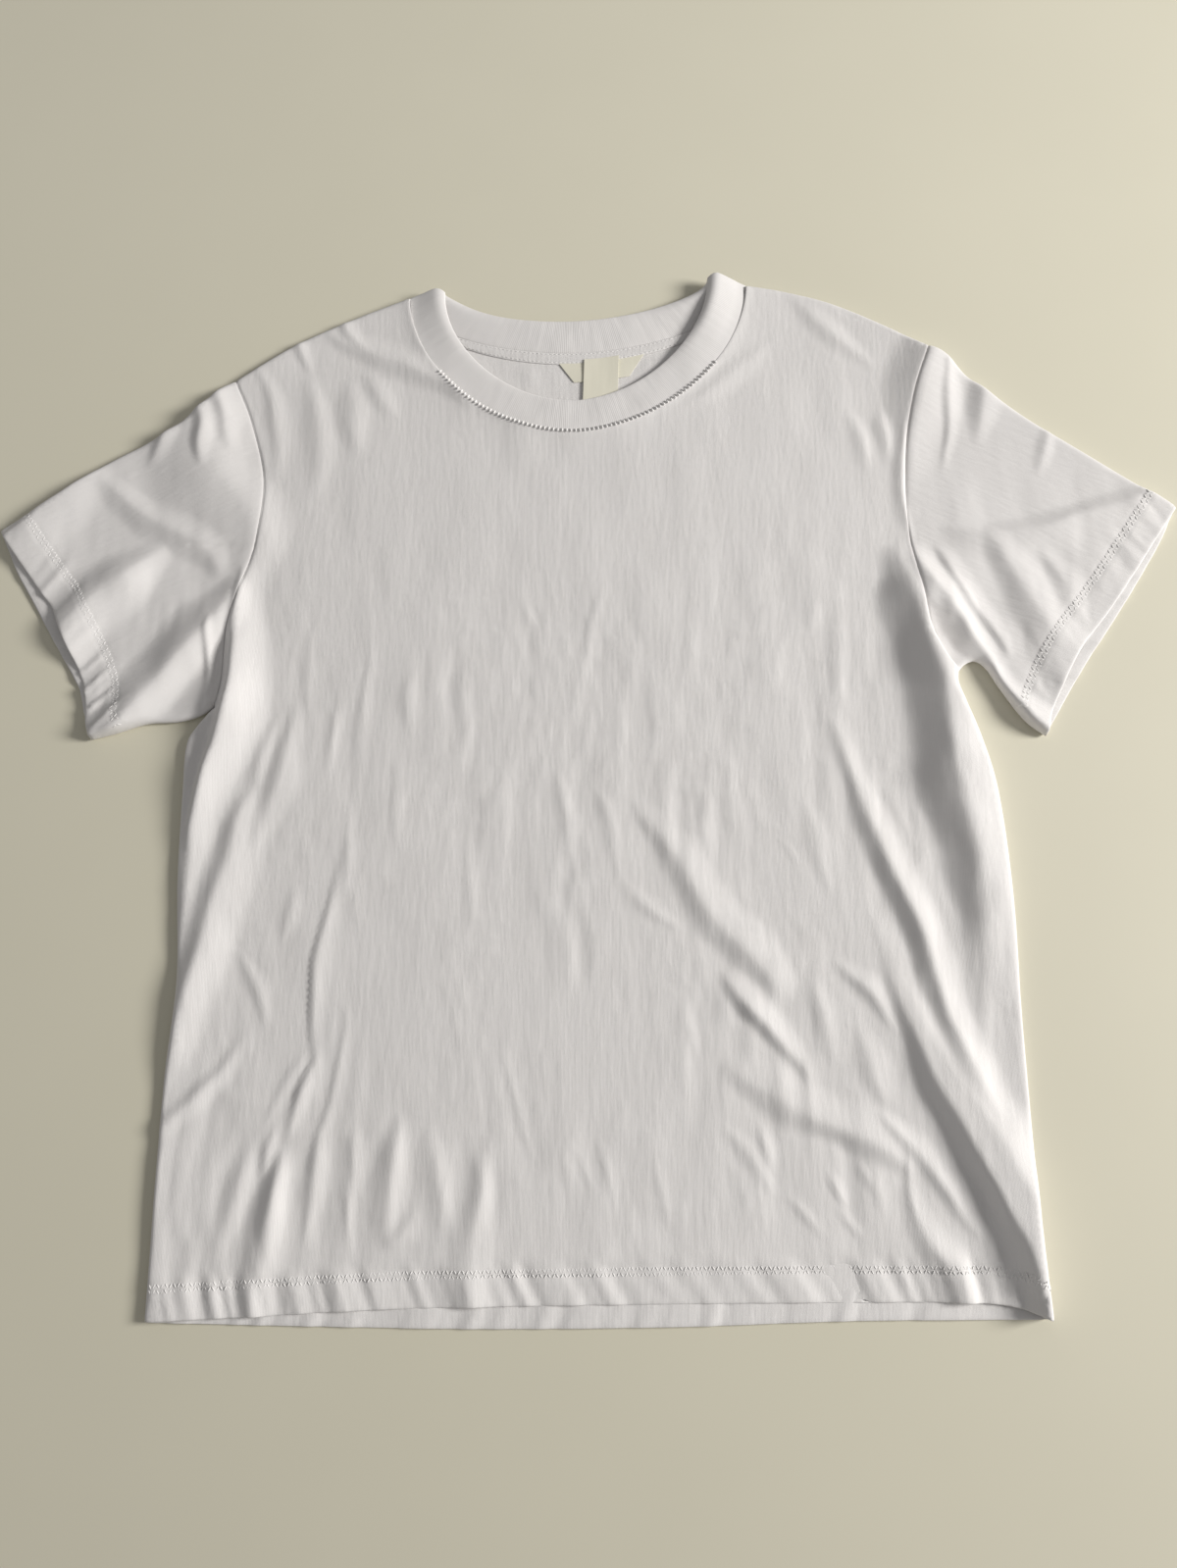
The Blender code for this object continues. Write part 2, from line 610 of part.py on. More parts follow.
def loop_label(material):
    rows = []
    for share in (0.0, 0.5, 1.0):
        width = LABEL_TOP_WIDTH + share * (LABEL_FOOT_WIDTH - LABEL_TOP_WIDTH)
        x = LABEL_CENTRE_X + width * np.linspace(-0.5, 0.5, 7)
        y = tape_foot(x) - share * LABEL_DROP
        rows.append(np.column_stack([x, y]))
    plan = np.array(rows)
    base = np.full(plan.shape[:2], CLOTH + SEAM_GAP)
    return plate("loop_label", plan, base, material)


def size_label(material):
    x = LABEL_CENTRE_X + TAB_WIDTH * np.linspace(-0.5, 0.5, 4)
    low = CLOTH + SEAM_GAP
    high = low + RIBBON + SEAM_GAP
    rows, base = [], []
    for down in np.linspace(0, TAB_LENGTH, 11):
        rows.append(np.column_stack([x, tape_foot(x) - down]))
        eased = fade((down - (LABEL_DROP + SEAM_GAP)) / (TAB_TUCK - LABEL_DROP))
        base.append(np.full(len(x), low + (high - low) * eased))
    return plate("size_label", np.array(rows), np.array(base), material)


# --- build ----------------------------------------------------------------------------------------


def make_material(name):
    colour, roughness = MATERIALS[name]
    material = bpy.data.materials.new(name)
    material.use_nodes = True
    shader = material.node_tree.nodes["Principled BSDF"]
    shader.inputs["Base Color"].default_value = (*colour, 1)
    shader.inputs["Roughness"].default_value = roughness
    shader.inputs["Metallic"].default_value = 0
    material.diffuse_color = (*colour, 1)
    return material


def main():
    for thing in list(bpy.data.objects):
        bpy.data.objects.remove(thing, do_unlink=True)
    jersey = make_material("jersey")
    back_panel(jersey)
    front_panel(jersey)
    left = (armhole_left, top_left, foot_left, CUFF_LEFT, -1, LEFT_SLEEVE_EDGES)
    right = (armhole_right, top_right, foot_right, CUFF_RIGHT, 1, RIGHT_SLEEVE_EDGES)
    sleeve("sleeve_left", *left, jersey)
    sleeve("sleeve_right", *right, jersey)
    neck_rib(make_material("rib"))
    neck_tape(make_material("tape"))
    label = make_material("label")
    loop_label(label)
    size_label(label)


main()
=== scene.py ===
"""Looks of the crew neck T-shirt: thin cloth shells, creases, seams, stitches, labels and light.

Metres, +Z up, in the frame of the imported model: the origin lies on the table under the middle of
the back, +Y runs from the hem to the neck. The tables of outlines, folds and unevenness are in
millimetres.
"""

import math

import bmesh
import bpy
import numpy as np
from mathutils.geometry import delaunay_2d_cdt
from mathutils.kdtree import KDTree
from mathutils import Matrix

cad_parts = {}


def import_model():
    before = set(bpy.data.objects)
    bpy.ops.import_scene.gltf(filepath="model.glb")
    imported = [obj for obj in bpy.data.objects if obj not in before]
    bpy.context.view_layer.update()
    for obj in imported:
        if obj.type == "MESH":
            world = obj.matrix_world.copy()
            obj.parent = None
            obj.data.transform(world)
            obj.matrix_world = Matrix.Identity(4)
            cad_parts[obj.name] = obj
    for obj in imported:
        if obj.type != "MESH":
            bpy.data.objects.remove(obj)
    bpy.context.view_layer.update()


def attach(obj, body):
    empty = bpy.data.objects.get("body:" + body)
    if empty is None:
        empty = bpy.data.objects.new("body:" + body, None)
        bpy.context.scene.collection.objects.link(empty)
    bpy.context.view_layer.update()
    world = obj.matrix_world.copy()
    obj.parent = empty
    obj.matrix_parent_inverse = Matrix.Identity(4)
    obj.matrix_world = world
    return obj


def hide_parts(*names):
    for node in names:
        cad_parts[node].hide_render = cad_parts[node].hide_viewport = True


MM = 0.001

# Cloth and seams, as in the solids
CLOTH = 1.2 * MM
LAYER_GAP = 0.4 * MM
FRONT_FLAT = 2 * CLOTH + LAYER_GAP  # outer face of the front where both panels lie flat
ROLL = 3.2 * MM  # how far in from the outline the cloth is still turning over
ROLL_SHARE = 0.2  # a raised edge turns over this much further for each unit of height
FRONT_SEAM_HEIGHT = 2.4 * MM  # the front and the back meet here on a folded edge
BACK_SEAM_HEIGHT = 2.3 * MM
EDGE_PUFF = 2.2 * MM
EDGE_REACH = 85 * MM

# Hems and cuffs
HEM_BAND = 19 * MM
CUFF_BAND = 22 * MM
HEM_RISE = 0.4 * MM  # the outer face over the turned-up cloth
HEM_LEDGE = 0.35 * MM  # and the ledge where that ends
BAND_EASE = 2.4 * MM  # over which the turned-up cloth ends under the outer face
HEM_ROUND = 1.5 * MM  # the turned edge is rounded over this distance
HEM_ROWS = (15.9 * MM, 18.9 * MM)  # the two rows of stitches, from the edge
CUFF_ROWS = (18.4 * MM, 21.4 * MM)
STITCH_SINK = 0.45 * MM  # how deep a row of stitches pulls the cloth in
STITCH_SINK_BACK = 0.25 * MM  # and on the underside
STITCH_SINK_REACH = 1.1 * MM
PUCKER = 1.15 * MM
PUCKER_BACK = 0.7 * MM
PUCKER_SLANT = 0.35  # how far the puckers lean over along the hem
PUCKER_FINE = 0.65  # height of the finer ones, as a share
PUCKER_CELLS = (9 * MM, 90 * MM, 31)  # along the band, across it, and the first band's seed
PUCKER_FINE_CELLS = (4.6 * MM, 60 * MM, 41)
PUCKER_BACK_CELLS = (7.5 * MM, 60 * MM, 71)
PUCKER_SHARE = 0.75  # of the band's width: they fade out from here over as much again
PUCKER_BACK_SHARE = 0.4
PUCKER_BACK_LEVEL = 0.6
HEM_THINNING = 0.3  # share of the cloth's thickness that the turned edge loses inside
HEM_THINNING_BACK = 0.35

# Armhole seams
ARMHOLE_GAP = 0.12 * MM  # between a sleeve and the panels
SEAM_SINK = 0.9 * MM
SEAM_SINK_SHADED = 0.3  # share of it on the side away from the light
SEAM_SINK_REACH = (0.85 * MM, 0.5 * MM)  # on the light's side and on the other
SEAM_SINK_BACK = 0.5 * MM
SEAM_SINK_BACK_REACH = 1.1 * MM
SEAM_ALLOWANCE = 0.15 * MM  # how much it lifts the sleeve beside the seam
SEAM_ALLOWANCE_RISE = 2.5 * MM
SEAM_ALLOWANCE_WIDTH = 5.5 * MM
SEAM_ALLOWANCE_FALL = 4.0 * MM
SHOULDER_SINK = 0.45 * MM
SHOULDER_SINK_REACH = 0.6 * MM

# Neckband
NECK_CENTRE = (-7.3 * MM, 332.2 * MM)
NECK_HALF_WIDTH = 117.3 * MM
NECK_TILT = 5.1 * MM
NECK_DROP_FRONT = 108 * MM
NECK_DROP_BACK = 47.5 * MM
RIM_CENTRE = (-8.5 * MM, 338.7 * MM)
RIM_HALF_WIDTH = 92.5 * MM
RIM_TILT = 5.3 * MM
RIM_DROP_FRONT = 91.5 * MM
RIM_DROP_BACK = 29.7 * MM
RIM_FILL = 16 * MM  # the back of the free edge drops less steeply beside the left fold
NECK_ROUNDNESS = 1.85
NECK_RISE = 1.9 * MM
NECK_RISE_REACH = 12 * MM
NECK_TUCK = 0.9 * MM  # the rib runs on this far under the front panel
NECK_STRIP = 3.4 * MM  # the seam allowance shows as a raised strip beside the rib
NECK_STRIP_RISE = 0.2 * MM
NECK_STRIP_EASE = 1.0 * MM
NECK_GROOVE = 0.12 * MM  # the cloth dips just beyond the strip
NECK_GROOVE_REACH = 0.9 * MM
NECK_SINK = 0.22 * MM
NECK_SINK_REACH = 0.5 * MM
NECK_BACK_SOFT = 0.5 * MM  # soft creases of the back inside the neck
NECK_BACK_CELLS = (15 * MM, 44 * MM, 51, 0.25)  # their size, seed and angle
NECK_BACK_FINE_CELLS = (8 * MM, 26 * MM, 52, 0.2)
NECK_BACK_FINE = 0.6  # height of the finer ones, as a share
NECK_BACK_LEVEL = 0.8
NECK_BACK_START = 8 * MM  # they fade out from here
NECK_BACK_REACH = 50 * MM
NECK_BACK_BELOW_TAPE = 9 * MM
RIB = 1.7 * MM
RIB_WIDTH = 24 * MM
RIB_ROUNDNESS = 0.45  # power that rounds its section
RIB_SOFT = 0.3 * MM
RIB_SOFT_CELLS = (16 * MM, 16 * MM, 81)
RIB_CLEARANCE = 0.1 * MM  # over the table, at the back
RIB_OVERLAP = 0.3 * MM
RIB_FRONT_HEIGHT = 3.8 * MM
RIB_TURN = 2.6 * MM
RIB_TUCK = 0.15
RIB_STAND = (2.6 * MM, 6.0 * MM)  # how high it stands at the left fold and at the right one
RIB_RISE = ((0, 0.25, 0.5, 0.78, 0.88, 1), (0, 0.14, 0.46, 0.94, 0.9, 0.5))  # across it
RIB_BACK_STAND = 2.4 * MM
RIB_BACK_LIFT = 3.4 * MM  # the back of it rises to the fold, over the last stretch
RIB_CORNER = 4.0 * MM  # its free edge is rounded off at the folds
RIB_CORNER_START = 0.7
RIB_LIFT_SHARE = (0.9, 0.6)  # share of its width over which it lifts at the left and right folds
RIB_SEAM_LIFT = 0.1  # the seam stays low at the folds
RIB_FRONT_STATIONS = 120
RIB_BACK_STATIONS = 90
RIB_TURN_STATIONS = 12
RIB_SECTION = 32

TAPE_WIDTH = 8.5 * MM
TAPE_END = 0.9
TAPE_TAPER = 0.55
TAPE_FALL = 0.5 * MM  # its foot lies this much lower than its top
TAPE_HEIGHT = 1.8 * MM
TAPE_CLOTH = 0.55 * MM
TAPE_CROWN = 0.25 * MM
TAPE_ROWS = (0.14, 0.86)  # its rows of stitches, as shares of its width
TAPE_GRID = (140, 13)  # points along it and across it
LABEL_CENTRE_X = 9.0 * MM
LABEL_TOP_WIDTH = 62 * MM
LABEL_FOOT_WIDTH = 38 * MM
LABEL_DROP = 14 * MM
LABEL_TUCK = 3 * MM  # both labels start this far under the tape
LABEL_BOW = 0.35 * MM
LABEL_BOW_START = 0.1
LABEL_BOW_OVER = 0.6
LABEL_CLEARANCE = 0.05 * MM
LABEL_GRID = (15, 37)  # points down it and across it
RIBBON = 0.3 * MM
TAB_WIDTH = 24 * MM
TAB_LENGTH = 36 * MM
TAB_LEAN = -1.2 * MM
TAB_HEIGHT = 2.4 * MM
TAB_CURL = 0.35 * MM
TAB_CURL_SHARE = 0.8
TAB_GRID = (25, 17)

# Stitches
NECK_TICK_OUT = 0.5 * MM
NECK_TICK_END = 0.62  # angle at which the stitches beside the neckband go under it
HEM_LIFT, LEFT_CUFF_LIFT, RIGHT_CUFF_LIFT = 0.12 * MM, 0.05 * MM, 0.13 * MM
NECK_LIFT, TAPE_LIFT = 0.55 * MM, 0.05 * MM
TAPE_STITCH_END = 0.05  # angle by which they stop short of the tape's end
STITCH_GUIDE = 3 * MM  # step of the lines that the rows of stitches follow
NECK_GUIDE_POINTS, TAPE_GUIDE_POINTS = 240, 160
STITCH_MARGIN = 1.2 * MM  # they stop this far from a folded edge
SLOPE_STEP = 0.3 * MM

# Colours
WHITE = (0.815, 0.800, 0.795)
WHITE_PATCH = (0.785, 0.765, 0.755)
THREAD = (0.93, 0.92, 0.91)
CREAM = (0.84, 0.815, 0.695)
CREAM_PATCH = (0.80, 0.775, 0.65)
PATCH_SIZE = 0.035

# Knit and weave, in metres
WALE = 0.0008
COURSE = 0.0006
BAND_RIB = 0.0012
RIBBON_RIB = 0.0005
THREAD_PLY = 0.0003

# How finely the cloth is meshed
OUTLINE_STEP = 2.4 * MM
EDGE_RINGS = (0.3 * MM, 0.9 * MM, 2.0 * MM, 3.6 * MM)
FRONT_STEP = 2.55 * MM
INNER_STEP = 3.7 * MM
SLEEVE_STEP = 2.0 * MM
SLEEVE_INNER_STEP = 3.2 * MM
BACK_STEP = 3.6 * MM
CURVE_STEPS = 12
RING_CLEARANCE = 0.9  # a ring's points keep this share of its distance from the outline
LATTICE_CLEARANCE = 0.6  # and the lattice keeps this share of its step from the last ring

# Outline of the shirt as it lies
SIDE_LEFT = (  # x, y, from the hem to the underarm
    (-250.2, -335.0), (-250.8, -257.0), (-250.6, -200.0), (-248.2, -145.0),
    (-252.8, -85.0), (-254.3, -30.0), (-254.4, 2.0), (-248.6, 15.5), (-238.6, 27.5),
)
SIDE_RIGHT = (
    (261.0, -333.5), (259.2, -289.0), (259.4, -229.5), (259.4, -162.0),
    (260.4, -100.0), (257.4, -36.0), (249.6, 5.0), (240.4, 31.0), (236.4, 43.0), (237.0, 51.0),
)
ARMHOLE_LEFT = (  # x, y, from the underarm to the shoulder
    (-238.6, 27.5), (-235.8, 46.0), (-235.0, 75.0), (-228.5, 106.0),
    (-219.2, 144.0), (-217.6, 186.0), (-228.6, 230.0), (-241.9, 262.3),
)
ARMHOLE_RIGHT = (
    (237.0, 51.0), (229.5, 61.0), (223.5, 76.0), (218.6, 96.0), (214.4, 126.0),
    (211.8, 165.0), (214.0, 212.0), (221.4, 253.0), (233.6, 288.4),
)
SHOULDER_SEAMS = (  # what shows of them on the front
    ((176, 317), (188, 310.5), (200, 304), (214, 296), (228, 285)),
)
SHOULDER_LEFT = ((-241.9, 262.3), (-203.2, 289.7), (-160.0, 312.0), (-124.6, 327.1))
SHOULDER_RIGHT = ((110.0, 337.3), (137.2, 332.6), (171.0, 322.4), (210.8, 302.9), (233.6, 288.4))
SLEEVE_TOP_LEFT = (  # x, y, from the shoulder to the cuff
    (-241.9, 262.3), (-252.0, 255.0), (-266.9, 239.7), (-277.3, 228.5),
    (-298.0, 214.5), (-329.2, 195.5), (-389.6, 150.3),
)
SLEEVE_TOP_RIGHT = (
    (233.6, 288.4), (246.7, 282.1), (259.0, 266.8), (268.4, 258.5),
    (299.6, 232.3), (330.7, 210.1), (391.0, 167.4),
)
SLEEVE_FOOT_LEFT = (  # x, y, from the underarm to the cuff
    (-238.6, 27.5), (-249.3, 21.2), (-262.0, 18.0), (-280.1, 16.8), (-298.2, 11.0), (-315.1, 6.4),
)
SLEEVE_FOOT_RIGHT = (
    (237.0, 51.0), (242.5, 57.0), (249.5, 58.8), (256.0, 53.5), (263.4, 40.4), (277.1, 19.7),
    (289.9, 9.0),
)
CUFF_LEFT = (  # front_x, front_y, back_x, back_y, from the top of the sleeve to its underside
    (-389.6, 150.3, -389.6, 150.3), (-373.9, 127.9, -376.5, 122.5), (-358.7, 107.1, -363.6, 101.0),
    (-348.4, 94.0, -352.0, 82.0), (-337.0, 71.5, -340.0, 62.5), (-323.1, 41.7, -327.2, 41.5),
    (-319.5, 18.7, -320.5, 20.0), (-315.1, 6.4, -315.1, 6.4),
)
CUFF_RIGHT = (
    (391.0, 167.4, 391.0, 167.4), (375.0, 144.0, 378.6, 143.0), (360.5, 123.0, 365.4, 122.0),
    (337.9, 92.0, 344.6, 91.0), (314.6, 63.0, 321.0, 58.0), (296.7, 28.5, 303.0, 30.0),
    (289.9, 9.0, 289.9, 9.0),
)
HEM_FRONT = (
    (-250.2, -335.0), (-190.0, -332.2), (-110.6, -328.3), (0.0, -326.3),
    (160.0, -324.8), (231.0, -325.6), (261.0, -333.5),
)
HEM_BACK = (
    (-250.2, -335.4), (-166.0, -337.2), (-55.0, -338.8), (55.0, -337.6),
    (150.0, -334.6), (261.0, -333.9),
)

# Main folds. The crest runs through the points, with its own height at each. It falls over
# shade_width on the side away from the light, -X, or above it where it runs level, and over
# light_width on the other. Both widths are those of the highest stretch. keen is 0 for a round
# crest and 1 for a sharp one.
FOLDS = (  # name, shade_width, light_width, keen, points as x, y, height
    ("right side", 27, 42, 0.3, (
        (203, 142, 0), (208, 122, 5), (212, 104, 10.5), (217, 85, 11), (221, 66, 11.5),
        (226, 46, 12), (227, 28, 12.5), (227, 8, 12.5), (230, -18, 12), (234, -37, 10.5),
        (238, -60, 9), (240, -95, 7), (240, -130, 3.5), (240, -165, 0),
    )),
    ("right waist", 13, 19, 0.35, (
        (153, 26, 0), (161, -3, 1.5), (173, -44, 3), (188, -83, 4.5), (201, -114, 5),
        (210, -151, 5), (223, -188, 4), (242, -227, 0),
    )),
    ("right hem", 14, 30, 0.3, (
        (174, -101, 0), (182, -135, 1.5), (193, -171, 3.5), (204, -199, 6), (216, -224, 8),
        (235, -266, 9.5), (253, -304, 10), (262, -338, 10),
    )),
    ("middle upper", 14, 22, 0.2, (
        (22, -27, 0), (33, -42, 0.8), (45, -56, 1.7), (57, -74, 2.5), (72, -103, 3.1),
        (88, -119, 3.1), (103, -133, 2.8), (111, -146, 2), (113, -160, 0),
    )),
    ("middle lower", 9, 16, 0.35, (
        (80, -138, 0), (94, -156, 3), (106, -171, 3.5), (118, -185, 2.2), (126, -195, 1),
        (133, -205, 0),
    )),
    ("low right", 13, 20, 0.25, (
        (80, -192, 0), (95, -203, 2), (118, -217, 3.2), (147, -229, 3.6), (170, -240, 3),
        (190, -254, 0),
    )),
    ("low right second", 8, 12, 0.5, (
        (169, -219, 0), (186, -237, 2), (205, -263, 2.3), (214, -277, 1.6), (225, -292, 0),
    )),
    ("right corner", 13, 16, 0.35, (
        (181, -258, 0), (187, -276, 1.2), (198, -297, 3), (205, -307, 3.4), (213, -334, 3.4),
    )),
    ("left underarm", 9, 26, 0.3, (
        (-226, 126, 0), (-227, 98, 4), (-228, 72, 8), (-228, 45, 10.5), (-232, 19, 11),
        (-240, -17, 8), (-246, -50, 4), (-247, -90, 2), (-246, -128, 0),
    )),
    ("left waist", 14, 24, 0.35, (
        (-210, -24, 0), (-215, -38, 2), (-219, -55, 3.6), (-227, -90, 5), (-234, -124, 5),
        (-243, -163, 4), (-251, -208, 0),
    )),
    ("left third", 9, 12, 0.3, (
        (-206, -178, 0), (-218, -199, 2), (-229, -210, 2.3), (-254, -233, 1.4),
    )),
    ("left hem", 13, 15, 0.35, (
        (-175, -242, 0), (-180, -262, 2), (-186, -289, 3.2), (-189, -319, 3.2), (-189, -338, 3),
    )),
    ("left shoulder", 11, 15, 0.35, (
        (-183, 300, 0), (-168, 291, 1.5), (-133, 276, 2.8), (-114, 268, 2.6), (-96, 258, 1.8),
        (-76, 238, 0),
    )),
    ("right cap", 27, 32, 0.2, (
        (240, 318, 2), (238, 292, 5.5), (230, 268, 6.5), (225, 246, 5), (219, 218, 2.2),
        (215, 186, 0),
    )),
    ("right sleeve low", 12, 20, 0.3, (
        (213, 141, 0), (218, 127, 2), (225, 113, 4.2), (233, 100, 4.8), (239, 87, 4.8),
        (245, 74, 4.6), (250, 60, 4.6), (256, 47, 5), (265, 33, 5.5), (284, 11, 6),
    )),
    ("right sleeve middle", 17, 22, 0.15, (
        (262, 152, 0), (274, 129, 2.8), (287, 105, 4.2), (299, 82, 4.2), (314, 50, 4),
    )),
    ("left sleeve cap", 60, 36, 0, (
        (-262, 256, 3), (-257, 224, 5.5), (-251, 198, 5.5), (-241, 178, 5), (-227, 160, 4),
        (-220, 142, 3.4), (-225, 122, 2.4), (-228, 100, 0),
    )),
    ("left sleeve middle", 24, 26, 0.15, (
        (-278, 138, 0), (-289, 130, 4), (-304, 117, 7.5), (-320, 102, 8), (-334, 84, 7.5),
        (-342, 68, 7),
    )),
    ("left sleeve low", 25, 19, 0.2, (
        (-227, 118, 0), (-231, 105, 4.5), (-238, 91, 7.5), (-249, 77, 8.5), (-262, 62, 8.5),
        (-275, 45, 8), (-286, 31, 7.5), (-300, 12, 7),
    )),
)

FLAT_TOPS = {"right side": 2, "right hem": 22}  # on the light's side, opening up along the crest

